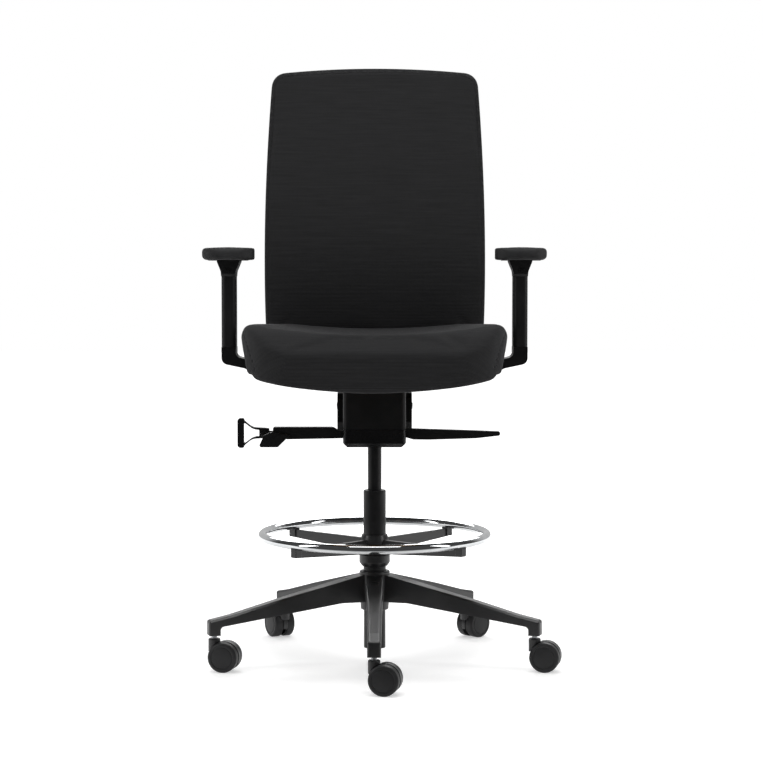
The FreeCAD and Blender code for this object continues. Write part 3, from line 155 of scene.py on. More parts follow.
# ---- finishes ---------------------------------------------------------------
@dataclass(frozen=True)
class Finish:
    """A surface finish. Subclasses add the pattern of their own material."""

    name: str
    colour: str
    roughness: float
    specular: float = 0.5
    metallic: float = 0.0
    accent: str = "#808080"      # the pattern's second colour
    blend: tuple[float, float] = (0.35, 0.8)   # pattern values between which it takes over
    spread: float = 0.0          # how far the roughness wanders to either side
    depth_mm: float = 0.0        # height of the relief
    edge_mm: float = 0.0         # radius of the softened edges

    def build(self) -> Material:
        """Makes the finish's material.

        Returns:
            The material.
        """
        surface = Surface(self)
        self.pattern(surface)
        return surface.material

    def pattern(self, surface: "Surface") -> None:
        """Adds what the plain shader lacks; the plain finish adds nothing."""


class Surface(NodeSketch):
    """The material of a finish that is being drawn."""

    def __init__(self, finish: Finish) -> None:
        """Opens a material with the finish's plain values.

        Args:
            finish: The finish.
        """
        self.finish = finish
        self.material = bpy.data.materials.new(finish.name)
        self.material.use_nodes = True
        super().__init__(self.material.node_tree)
        self.shader = self.tree.nodes["Principled BSDF"]
        self.feed(self.shader, {
            "Base Color": linear(finish.colour), "Roughness": finish.roughness,
            "Specular IOR Level": finish.specular, "Metallic": finish.metallic})

    def noise(self, size_mm: float, detail: float = 2.0, place: NodeSocket | None = None,
              stretch: tuple[float, float, float] = (1, 1, 1)) -> NodeSocket:
        """Noise on coordinates.

        Args:
            size_mm: Width of one spot.
            detail: Octaves of the noise.
            place: The coordinates; the object's own where it is None.
            stretch: Spot size along X, Y and Z, as shares of size_mm.

        Returns:
            The noise value's socket.
        """
        scale = tuple(1 / (size_mm * MM * s) for s in stretch)
        mapped = self.add("ShaderNodeMapping", {
            "Vector": self.place() if place is None else place, "Scale": scale})
        spots = self.add("ShaderNodeTexNoise", {
            "Vector": mapped.outputs[0], "Scale": 1.0, "Detail": detail})
        return spots.outputs["Fac"]

    def bands(self, place: NodeSocket, pitch_mm: float, direction: str,
              wander: dict[str, float] | None = None) -> NodeSocket:
        """Light and dark bands.

        Args:
            place: The coordinates.
            pitch_mm: From one light band to the next.
            direction: Axis that the bands are stacked along.
            wander: Inputs of the wave node that make the bands wander.

        Returns:
            The bands' socket.
        """
        scale = math.pi / 10 / (pitch_mm * MM)   # a scale of pi / 10 gives one band to a metre
        values = {"Vector": place, "Scale": scale, **(wander or {})}
        waves = self.add("ShaderNodeTexWave", values, wave_type="BANDS", bands_direction=direction)
        return waves.outputs["Fac"]

    def tint(self, factor: NodeSocket) -> None:
        """Mixes the finish's accent into its colour.

        Args:
            factor: Socket of the pattern that picks between the two.
        """
        ramp = self.add("ShaderNodeValToRGB", {"Fac": factor})
        colours = (self.finish.colour, self.finish.accent)
        for k, (position, colour) in enumerate(zip(self.finish.blend, colours)):
            ramp.color_ramp.elements[k].position = position
            ramp.color_ramp.elements[k].color = linear(colour)
        self.feed(self.shader, {"Base Color": ramp.outputs["Color"]})

    def relief(self, height: NodeSocket) -> None:
        """Adds the finish's bump, and softens edges where it has an edge radius.

        Args:
            height: Socket with the relief, zero to one.
        """
        values = {"Height": height, "Distance": self.finish.depth_mm * MM, "Strength": 1.0}
        if self.finish.edge_mm:
            edge = self.add("ShaderNodeBevel", {"Radius": self.finish.edge_mm * MM}, samples=4)
            values["Normal"] = edge.outputs[0]
        self.feed(self.shader, {"Normal": self.add("ShaderNodeBump", values).outputs[0]})

    def vary_roughness(self, factor: NodeSocket) -> None:
        """Lets the roughness wander about its middle value.

        Args:
            factor: Socket of the pattern that it follows.
        """
        middle, spread = self.finish.roughness, self.finish.spread
        change = self.add("ShaderNodeMapRange", {
            "Value": factor, "From Min": 0.25, "From Max": 0.75,
            "To Min": middle - spread, "To Max": middle + spread})
        self.feed(self.shader, {"Roughness": change.outputs[0]})


@dataclass(frozen=True)
class RibWeave(Finish):
    """Woven polyester upholstery, piece-dyed: matt, soft sheen, fine cross ribs."""

    accent: str = "#333334"
    blend: tuple[float, float] = (0.15, 0.75)
    depth_mm: float = 0.28
    rib_mm: float = 2.6        # the real ribs are 1.3 mm; drawn twice as coarse so they show
    rib_wander: float = 1.2
    yarn_mm: float = 1.7       # float length of the yarns along a rib
    yarn_wander: float = 2.0
    slub_mm: float = 9.0       # spacing of the thicker yarns
    slub_stretch: tuple[float, float, float] = (9.0, 0.5, 1.0)
    slub_share: float = 0.45
    sheen: float = 0.18
    sheen_roughness: float = 0.45
    sheen_colour: str = "#9a9a9c"

    def pattern(self, surface: Surface) -> None:
        """Ribs along the thread attribute's second axis, crossed by yarns and slubs, with painted
        highlight on the crests and painted shade in the valleys.

        Args:
            surface: The surface to draw on.
        """
        thread = surface.add("ShaderNodeAttribute", attribute_name="thread").outputs["Vector"]
        ribs, yarns = (
            surface.bands(thread, pitch, direction,
                          {"Distortion": wander, "Detail": 1.0, "Detail Scale": 0.4})
            for direction, pitch, wander in (("Y", self.rib_mm, self.rib_wander),
                                             ("X", self.yarn_mm, self.yarn_wander)))
        cloth = surface.calculate("MULTIPLY", ribs, yarns)
        slubs = surface.noise(self.slub_mm, 3.0, thread, self.slub_stretch)
        # painted highlight and shade: lighter on the rib and yarn crests, darker in the valleys between
        # them; the slubs' share is the yarn's own tone
        surface.tint(surface.mix(self.slub_share, cloth, slubs))
        surface.relief(cloth)
        surface.feed(surface.shader, {
            "Sheen Weight": self.sheen, "Sheen Roughness": self.sheen_roughness,
            "Sheen Tint": linear(self.sheen_colour)})


@dataclass(frozen=True)
class SewingThread(Finish):
    """Bonded polyester thread, twisted: small strands along the seam, painted lighter on their raised
    tops as a painted highlight.
    """

    accent: str = "#2c2c2d"
    blend: tuple[float, float] = (0.35, 0.65)
    depth_mm: float = 0.1
    twist_mm: float = 1.4

    def pattern(self, surface: Surface) -> None:
        """Strands a little longer than they are wide.

        Args:
            surface: The surface to draw on.
        """
        strands = surface.noise(self.twist_mm)
        # painted highlight and shade: the strands' raised tops lighter, the hollows between them darker
        surface.tint(strands)
        surface.relief(strands)


@dataclass(frozen=True)
class MouldedPlastic(Finish):
    """Injection-moulded nylon or polypropylene with a spark-eroded tool texture."""

    accent: str = "#2a2a2b"
    spread: float = 0.05
    depth_mm: float = 0.03
    edge_mm: float = 0.7
    grain_mm: float = 0.9
    flow_mm: float = 70.0      # width of the faint cloudy marks that the melt's flow leaves

    def pattern(self, surface: Surface) -> None:
        """Fine grain, cloudy flow marks and moulded edge radii.

        Args:
            surface: The surface to draw on.
        """
        flow = surface.noise(self.flow_mm, 3.0)
        surface.tint(flow)
        surface.vary_roughness(flow)
        surface.relief(surface.noise(self.grain_mm, 3.0))


@dataclass(frozen=True)
class PadSkin(Finish):
    """Integral-skin polyurethane foam: soft, matt, with a fine leather grain."""

    accent: str = "#333334"
    blend: tuple[float, float] = (0.3, 0.8)
    depth_mm: float = 0.06
    grain_mm: float = 1.1
    crease: float = 0.18       # half width of a crease, as a share of a pebble's width
    cloud_mm: float = 24.0     # width of the faint lighter patches

    def pattern(self, surface: Surface) -> None:
        """Pebbled cells, with creases between them.

        Args:
            surface: The surface to draw on.
        """
        cells = surface.add("ShaderNodeTexVoronoi", {
            "Vector": surface.place(), "Scale": 1 / (self.grain_mm * MM)},
            feature="DISTANCE_TO_EDGE")
        pebbles = surface.add("ShaderNodeMapRange", {
            "Value": cells.outputs["Distance"], "From Max": self.crease})
        surface.tint(surface.noise(self.cloud_mm, 3.0))
        surface.relief(pebbles.outputs[0])


@dataclass(frozen=True)
class Enamel(Finish):
    """Powder-coated steel: smooth, satin, with a slight orange peel."""

    accent: str = "#232324"
    spread: float = 0.04
    depth_mm: float = 0.025
    edge_mm: float = 0.6
    peel_mm: float = 2.4
    cloud_mm: float = 40.0     # width of the faint lighter patches

    def pattern(self, surface: Surface) -> None:
        """Orange peel, and a coat that varies a little in gloss.

        Args:
            surface: The surface to draw on.
        """
        peel = surface.noise(self.peel_mm, 1.0)
        surface.tint(surface.noise(self.cloud_mm))
        surface.vary_roughness(peel)
        surface.relief(peel)


@dataclass(frozen=True)
class PlatedMetal(Finish):
    """Chrome or zinc plate on steel: the polish or turning marks show in its gloss."""

    metallic: float = 1.0
    accent: str = "#c2c4c7"
    blend: tuple[float, float] = (0.35, 0.75)
    spread: float = 0.02
    edge_mm: float = 0.3
    mark_mm: float = 8.0
    scratch_mm: float = 0.5    # width of the marks where the plate isn't polished

    def pattern(self, surface: Surface) -> None:
        """Cloudy gloss, and fine marks where the plate has a relief.

        Args:
            surface: The surface to draw on.
        """
        marks = surface.noise(self.mark_mm, 3.0)
        surface.tint(marks)
        surface.vary_roughness(marks)
        if self.depth_mm:
            surface.relief(surface.noise(self.scratch_mm))


@dataclass(frozen=True)
class Plywood(Finish):
    """Beech plywood, sanded: long grain on the faces, light and dark plies at the edges."""

    accent: str = "#8d6a45"
    blend: tuple[float, float] = (0.3, 0.75)
    depth_mm: float = 0.04
    ply_mm: float = 1.5
    grain_mm: float = 2.2
    grain_stretch: tuple[float, float, float] = (1.0, 26.0, 1.0)

    def pattern(self, surface: Surface) -> None:
        """Grain that runs front to back, and plies stacked along Z.

        Args:
            surface: The surface to draw on.
        """
        plies = surface.bands(surface.place(), 2 * self.ply_mm, "Z")
        grain = surface.noise(self.grain_mm, 4.0, stretch=self.grain_stretch)
        facing = surface.add("ShaderNodeNewGeometry").outputs["Normal"]
        flat = surface.calculate("ABSOLUTE", surface.axis(facing, "Z"))
        surface.tint(surface.mix(flat, plies, grain))
        surface.relief(grain)


class Coat(Enum):
    """The finishes of the chair: one for each of the record's slots, and those in NOT_SLOTS."""

    UPHOLSTERY = RibWeave("woven_upholstery", "#212122", 0.85, 0.15)
    SEAM_THREAD = SewingThread("seam_thread", "#161617", 0.7, 0.2)
    RING_CHROME = PlatedMetal("bright_chrome_plate", "#dadcde", 0.06, accent="#e6e7e8", mark_mm=30.0)
    BRIGHT_STEEL = PlatedMetal("zinc_plate", "#9a9c9f", 0.34, mark_mm=3.0, spread=0.06, depth_mm=0.02)
    BLACK_STEEL = PlatedMetal("blackened_steel", "#2b2b2d", 0.42, accent="#3a3a3c", mark_mm=4.0,
                              spread=0.06, depth_mm=0.02)
    COVER_NYLON = MouldedPlastic("mould_polished_nylon", "#08080a", 0.2, 0.45, accent="#0d0d0e",
                                 grain_mm=1.4, depth_mm=0.006, edge_mm=1.2)
    COLUMN_ENAMEL = Enamel("column_enamel", "#141415", 0.36, 0.3)
    FRAME_ENAMEL = Enamel("frame_powder_coat", "#0f0f10", 0.45, 0.3, accent="#161617")
    PLYWOOD = Plywood("beech_plywood", "#b48f63", 0.6, 0.3)
    TREAD_NYLON = MouldedPlastic("castor_nylon", "#1e1e1f", 0.42, 0.35, accent="#2c2c2d",
                                 grain_mm=0.8, depth_mm=0.02)
    SHELL_PLASTIC = MouldedPlastic("moulded_polypropylene", "#1a1a1b", 0.55, 0.3, accent="#222223",
                                   grain_mm=1.3, depth_mm=0.06, edge_mm=1.5)
    ARM_NYLON = MouldedPlastic("glass_filled_nylon", "#171718", 0.45, 0.3, accent="#202021",
                               grain_mm=0.9, depth_mm=0.035, edge_mm=1.0)
    PAD_SKIN = PadSkin("polyurethane_pad_skin", "#262627", 0.62, 0.3)
    CONTROL_NYLON = MouldedPlastic("control_nylon", "#0f0f10", 0.35, 0.35, accent="#161617",
                                   grain_mm=1.0, depth_mm=0.02, edge_mm=1.0)
    BASE_NYLON = MouldedPlastic("base_glass_filled_nylon", "#1d1d1e", 0.33, 0.65, accent="#262627",
                                grain_mm=0.9, depth_mm=0.008, edge_mm=2.2)


class Palette:
    """The chair's materials, each built once."""

    def __init__(self) -> None:
        """Builds every finish's material."""
        self.made = {coat: coat.value.build() for coat in Coat}

    def __getitem__(self, coat: Coat) -> Material:
        """The material of one finish."""
        return self.made[coat]


# ---- meshes -----------------------------------------------------------------
def linked(name: str, data: bpy.types.ID) -> Object:
    """Makes an object in the scene.

    Args:
        name: Name of the object.
        data: Its mesh, lamp or camera.

    Returns:
        The object.
    """
    made = bpy.data.objects.new(name, data)
    bpy.context.scene.collection.objects.link(made)
    return made


def coordinates(mesh: Mesh) -> np.ndarray:
    """Reads where a mesh's vertices are.

    Args:
        mesh: The mesh.

    Returns:
        The vertices' places, one row each.
    """
    values = np.empty(len(mesh.vertices) * 3)
    mesh.vertices.foreach_get("co", values)
    return values.reshape(-1, 3)


def set_coordinates(mesh: Mesh, places: np.ndarray) -> None:
    """Moves a mesh's vertices to these places."""
    mesh.vertices.foreach_set("co", places.ravel())
    mesh.update()


def vertex_normals(mesh: Mesh) -> np.ndarray:
    """Reads which way a mesh's vertices face.

    Args:
        mesh: The mesh.

    Returns:
        The vertices' normals, one row each.
    """
    values = np.empty(len(mesh.vertices) * 3, np.float32)
    mesh.vertex_normals.foreach_get("vector", values)
    return values.reshape(-1, 3).astype(float)


def write_vectors(mesh: Mesh, label: str, values: Any) -> None:
    """Writes one vector for each of a mesh's vertices, as an attribute of that name."""
    data = mesh.attributes.new(label, "FLOAT_VECTOR", "POINT").data
    data.foreach_set("vector", np.array(values, np.float32).ravel())


def surface_tree(places: np.ndarray, mesh: Mesh) -> BVHTree:
    """A tree that rays can meet, of a mesh's faces laid through places."""
    return BVHTree.FromPolygons([Vector(p) for p in places], [tuple(f.vertices) for f in mesh.polygons])


def finder_of(places: Sequence[Sequence[float]]) -> KDTree:
    """Makes a finder of the nearest of some places.

    Args:
        places: The places.

    Returns:
        The finder, which gives their numbers.
    """
    finder = KDTree(len(places))
    for k, spot in enumerate(places):
        finder.insert(spot, k)
    finder.balance()
    return finder


def faces_between(low: Sequence[int], high: Sequence[int]) -> list[list[int]]:
    """The faces between two closed rings.

    Args:
        low: Vertex numbers of the first ring.
        high: Those of the second, as many.

    Returns:
        The faces, without repeated corners, and without faces of two corners.
    """
    faces = []
    for k in range(len(low)):
        n = (k + 1) % len(low)
        faces.append(list(dict.fromkeys((low[k], low[n], high[n], high[k]))))
    return [face for face in faces if len(face) > 2]


def merged_copy(node: str) -> Mesh:
    """A copy of a CAD node's mesh with its loose triangles joined.

    Args:
        node: Name of the CAD node.

    Returns:
        A new mesh.
    """
    weld = 0.01 * MM
    work = bmesh.new()
    work.from_mesh(frame["nodes"][node].data)
    bmesh.ops.remove_doubles(work, verts=work.verts, dist=weld)
    mesh = bpy.data.meshes.new(node + "_merged")
    work.to_mesh(mesh)
    work.free()
    return mesh


def mesh_from(name: str, points: np.ndarray, faces: Sequence[Sequence[int]],
              smooth: bool = True) -> Mesh:
    """A mesh with its normals turned outwards.

    Args:
        name: Name of the mesh.
        points: Vertex places, one row each.
        faces: Vertex numbers of each face.
        smooth: Whether the faces are smooth shaded.

    Returns:
        The mesh.
    """
    mesh = bpy.data.meshes.new(name)
    mesh.from_pydata([tuple(p) for p in points], [], [tuple(f) for f in faces])
    work = bmesh.new()
    work.from_mesh(mesh)
    bmesh.ops.recalc_face_normals(work, faces=work.faces)
    for face in work.faces:
        face.smooth = smooth
    work.to_mesh(mesh)
    work.free()
    return mesh


def place(name: str, mesh: Mesh, material: Material, body: str,
          slot: str, stands_for: Iterable[str] = ()) -> Object:
    """Makes a finished piece of a mesh.

    Args:
        name: Name of the piece.
        mesh: Its final mesh, in the frame's place.
        material: Its material.
        body: CAD body that carries it.
        slot: The record's material slot it belongs to; not used.
        stands_for: CAD nodes that it replaces.

    Returns:
        The piece.
    """
    piece = linked(name, mesh)
    piece.data.materials.clear()
    piece.data.materials.append(material)
    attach(piece, body)
    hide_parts(*stands_for)
    LOG.info("%s: %d faces on %s", name, len(mesh.polygons), body)
    return piece


FINER = ("SUBSURF", {"levels": 1, "render_levels": 1})


def modified(mesh: Mesh, *modifiers: tuple[str, dict[str, Any]]) -> Mesh:
    """The mesh after a row of modifiers.

    Args:
        mesh: Mesh to start from.
        modifiers: Kind and settings of each modifier.

    Returns:
        A new mesh.
    """
    holder = linked("work", mesh)
    for kind, settings in modifiers:
        modifier = holder.modifiers.new(kind.lower(), kind)
        for key, value in settings.items():
            setattr(modifier, key, value)
    result = evaluated_mesh(holder)
    bpy.data.objects.remove(holder)
    return result


def evaluated_mesh(holder: Object) -> Mesh:
    """A plain mesh of an object with its modifiers applied."""
    graph = bpy.context.evaluated_depsgraph_get()
    return bpy.data.meshes.new_from_object(holder.evaluated_get(graph))


def lathe(profile: Sequence[tuple[float, float]],
          steps: int) -> tuple[np.ndarray, list[list[int]]]:
    """Turns a profile about Z.

    Args:
        profile: Radius and height of each point, in order.
        steps: Facets round the axis.

    Returns:
        Points and faces. Points on the axis are single.
    """
    points: list[tuple[float, float, float]] = []
    rings: list[list[int]] = []
    on_axis = 1e-7
    for radius, height in profile:
        count = steps if radius > on_axis else 1
        start = len(points)
        rings.append([start + k % count for k in range(steps)])
        for k in range(count):
            turn = 2 * math.pi * k / steps
            points.append((radius * math.cos(turn), radius * math.sin(turn), height))
    faces = [face for low, high in zip(rings, rings[1:]) for face in faces_between(low, high)]
    return np.array(points), faces


def rounded(profile: Sequence[tuple[float, float, float]]) -> list[tuple[float, float]]:
    """Rounds the corners of an open profile.

    Args:
        profile: The two coordinates and the corner radius of each point.

    Returns:
        The points with arcs at the corners.
    """
    steps = 5
    half_side = 0.49             # share of a side that a corner may take up
    points = [Vector(p[:2]) for p in profile]
    result = [tuple(points[0])]
    for before, here, after, (_, _, radius) in zip(points, points[1:], points[2:], profile[1:]):
        if radius <= 0:
            result.append(tuple(here))
            continue
        into = (before - here).normalized()
        out = (after - here).normalized()
        half = into.angle(out) / 2
        reach = min(radius / math.tan(half), half_side * (before - here).length,
                    half_side * (after - here).length)
        start, end = here + into * reach, here + out * reach
        for k in range(steps + 1):
            t = k / steps
            result.append(tuple(start * (1 - t) ** 2 + here * 2 * t * (1 - t) + end * t * t))
    result.append(tuple(points[-1]))
    return result


def even_loop(plan: np.ndarray, cell: float) -> tuple[np.ndarray, np.ndarray, list[int]]:
    """The outline of a convex plan as an even loop.

    Args:
        plan: Points of the plan, two columns.
        cell: Rough distance between loop places.

    Returns:
        Loop places from the lowest corner round, outward normals, and the steps along the
        first and the second axis.
    """
    flat = [Vector(p) for p in plan]
    hull = np.array([flat[k][:] for k in convex_hull_2d(flat)])
    low, high = hull.min(0), hull.max(0)
    share = (hull - (low + high) / 2) / (high - low)
    ways = ((-1, -1), (1, -1), (1, 1), (-1, 1))
    corners = [int(np.argmax(share @ np.array(way))) for way in ways]
    if (corners[1] - corners[0]) % len(hull) > (corners[2] - corners[0]) % len(hull):
        hull = hull[::-1]
        corners = [len(hull) - 1 - c for c in corners]
    fewest = 8                   # places along a side, at least
    place_passes, normal_passes = 2, 6   # smoothing passes
    counts = [max(fewest, round(size / cell)) for size in high - low]
    loop = []
    for side in range(4):
        start, end = corners[side], corners[(side + 1) % 4]
        run = hull[[(start + k) % len(hull) for k in range((end - start) % len(hull) + 1)]]
        reach = np.concatenate([[0.0], np.cumsum(np.linalg.norm(np.diff(run, axis=0), axis=1))])
        steps = counts[side % 2]
        for t in np.arange(steps) / steps * reach[-1]:
            loop.append([np.interp(t, reach, run[:, 0]), np.interp(t, reach, run[:, 1])])
    places = np.array(loop)
    for _ in range(place_passes):
        places = (np.roll(places, 1, axis=0) + 2 * places + np.roll(places, -1, axis=0)) / 4
    along = np.roll(places, -1, axis=0) - np.roll(places, 1, axis=0)
    normals = np.stack([along[:, 1], -along[:, 0]], axis=1)
    for _ in range(normal_passes):
        normals /= np.linalg.norm(normals, axis=1)[:, None]
        normals = (np.roll(normals, 1, axis=0) + normals + np.roll(normals, -1, axis=0)) / 3
    normals /= np.linalg.norm(normals, axis=1)[:, None]
    return places, normals, counts


def sweep(places: np.ndarray, normals: np.ndarray,
          section: Sequence[tuple[float, float]]) -> tuple[np.ndarray, list[list[int]]]:
    """Carries a closed section along a level path, and caps its ends.

    Args:
        places: Path places, two columns.
        normals: Outward normals of the path.
        section: Reach outwards and height of each section corner.

    Returns:
        Points and faces.
    """
    points = [(*(place + normal * out), height)
              for place, normal in zip(places, normals) for out, height in section]
    wide, long = len(section), len(places)
    faces = []
    for k in range(long - 1):
        here, there = k * wide, (k + 1) * wide
        faces += faces_between(range(here, here + wide), range(there, there + wide))
    faces.append(list(range(wide)))
    faces.append([(long - 1) * wide + c for c in reversed(range(wide))])
    return np.array(points), faces


# ---- geometry-node shapes ---------------------------------------------------
class NodeShape(NodeSketch):
    """A Geometry Nodes tree with named inputs, run over a mesh of points or edges."""

    def __init__(self, name: str, inputs: Sequence[tuple[str, str]]) -> None:
        """Opens the tree.

        Args:
            name: Name of the tree.
            inputs: Name and socket kind of each input after the geometry.
        """
        super().__init__(bpy.data.node_groups.new(name, "GeometryNodeTree"))
        face = self.tree.interface
        face.new_socket("Geometry", in_out="INPUT", socket_type="NodeSocketGeometry")
        for label, kind in inputs:
            face.new_socket(label, in_out="INPUT", socket_type=kind)
        face.new_socket("Material", in_out="INPUT", socket_type="NodeSocketMaterial")
        face.new_socket("Geometry", in_out="OUTPUT", socket_type="NodeSocketGeometry")
        self.source = self.add("NodeGroupInput")

    def given(self, label: str) -> NodeSocket:
        """The group input's socket of that name."""
        return self.source.outputs[label]

    def close(self, geometry: NodeSocket) -> None:
        """Ends the tree in real geometry, smooth shaded, with the material set.

        Args:
            geometry: Socket of the finished geometry.
        """
        real = self.add("GeometryNodeRealizeInstances", {0: geometry})
        smooth = self.add("GeometryNodeSetShadeSmooth", {0: real.outputs[0]})
        coated = self.add("GeometryNodeSetMaterial",
                          {0: smooth.outputs[0], "Material": self.given("Material")})
        self.add("NodeGroupOutput", {0: coated.outputs[0]})

    def run(self, mesh: Mesh, values: dict[str, Any]) -> Mesh:
        """Runs the tree.

        Args:
            mesh: Points or edges that the tree starts from.
            values: Value of each named input.

        Returns:
            The shape as a plain mesh.
        """
        holder = linked("work", mesh)
        modifier = holder.modifiers.new("shape", "NODES")
        modifier.node_group = self.tree
        for item in self.tree.interface.items_tree:
            if item.in_out == "INPUT" and item.name in values:
                modifier[item.identifier] = values[item.name]
        result = evaluated_mesh(holder)
        holder.modifiers.remove(modifier)
        bpy.data.objects.remove(holder)
        return result


def tube_shape() -> NodeShape:
    """A round tube along the source's edges, with Radius and Sides.

    Returns:
        The shape.
    """
    shape = NodeShape("tube_along_path", [("Radius", "NodeSocketFloat"), ("Sides", "NodeSocketInt")])
    path = shape.add("GeometryNodeMeshToCurve", {0: shape.given("Geometry")})
    ring = shape.add("GeometryNodeCurvePrimitiveCircle", {
        "Resolution": shape.given("Sides"), "Radius": shape.given("Radius")}, mode="RADIUS")
    tube = shape.add("GeometryNodeCurveToMesh",
                     {0: path.outputs[0], 1: ring.outputs[0], "Fill Caps": True})
    shape.close(tube.outputs[0])
    return shape


def repeated_shape() -> NodeShape:
    """Copies of Part on the source's points, turned by the attributes facing and along.

    Returns:
        The shape. A copy's Z lies along facing and its X towards along.
    """
    shape = NodeShape("part_on_points", [("Part", "NodeSocketObject")])
    part = shape.add("GeometryNodeObjectInfo", {"Object": shape.given("Part")})
    facing, along = (
        shape.add("GeometryNodeInputNamedAttribute", {"Name": label}, data_type="FLOAT_VECTOR")
        for label in ("facing", "along"))
    upright = shape.add("FunctionNodeAlignRotationToVector",
                        {"Vector": facing.outputs[0]}, axis="Z")
    turned = shape.add("FunctionNodeAlignRotationToVector",
                       {"Rotation": upright.outputs[0], "Vector": along.outputs[0]},
                       axis="X", pivot_axis="Z")
    copies = shape.add("GeometryNodeInstanceOnPoints", {
        "Points": shape.given("Geometry"), "Instance": part.outputs["Geometry"],
        "Rotation": turned.outputs[0]})
    shape.close(copies.outputs[0])
    return shape


def path_mesh(points: Sequence[Vector], closed: bool) -> Mesh:
    """A mesh of edges through points.

    Args:
        points: The points in order.
        closed: Whether an edge joins the last to the first.

    Returns:
        The mesh.
    """
    mesh = bpy.data.meshes.new("path")
    edges = [(k, k + 1) for k in range(len(points) - 1)]
    if closed:
        edges.append((len(points) - 1, 0))
    mesh.from_pydata([tuple(p) for p in points], edges, [])
    return mesh


def points_mesh(places: Sequence[tuple[Vector, Vector, Vector]]) -> Mesh:
    """A mesh of points with the attributes facing and along.

    Args:
        places: Place, facing and along of each point.

    Returns:
        The mesh.
    """
    mesh = bpy.data.meshes.new("points")
    mesh.from_pydata([tuple(p[0]) for p in places], [], [])
    for column, label in ((1, "facing"), (2, "along")):
        write_vectors(mesh, label, [p[column] for p in places])
    return mesh


# ---- upholstery -------------------------------------------------------------
def smoothstep(value: float, low: float, high: float) -> float:
    """Zero below low, one above high, and a smooth climb between them."""
    t = min(1.0, max(0.0, (value - low) / (high - low)))
    return t * t * (3 - 2 * t)


class Facing(Enum):
    """The way a padded piece faces, as the rows that turn frame places to pad places."""

    UP = ((1, 0, 0), (0, 1, 0), (0, 0, 1))
    FORWARD = ((1, 0, 0), (0, 0, 1), (0, -1, 0))


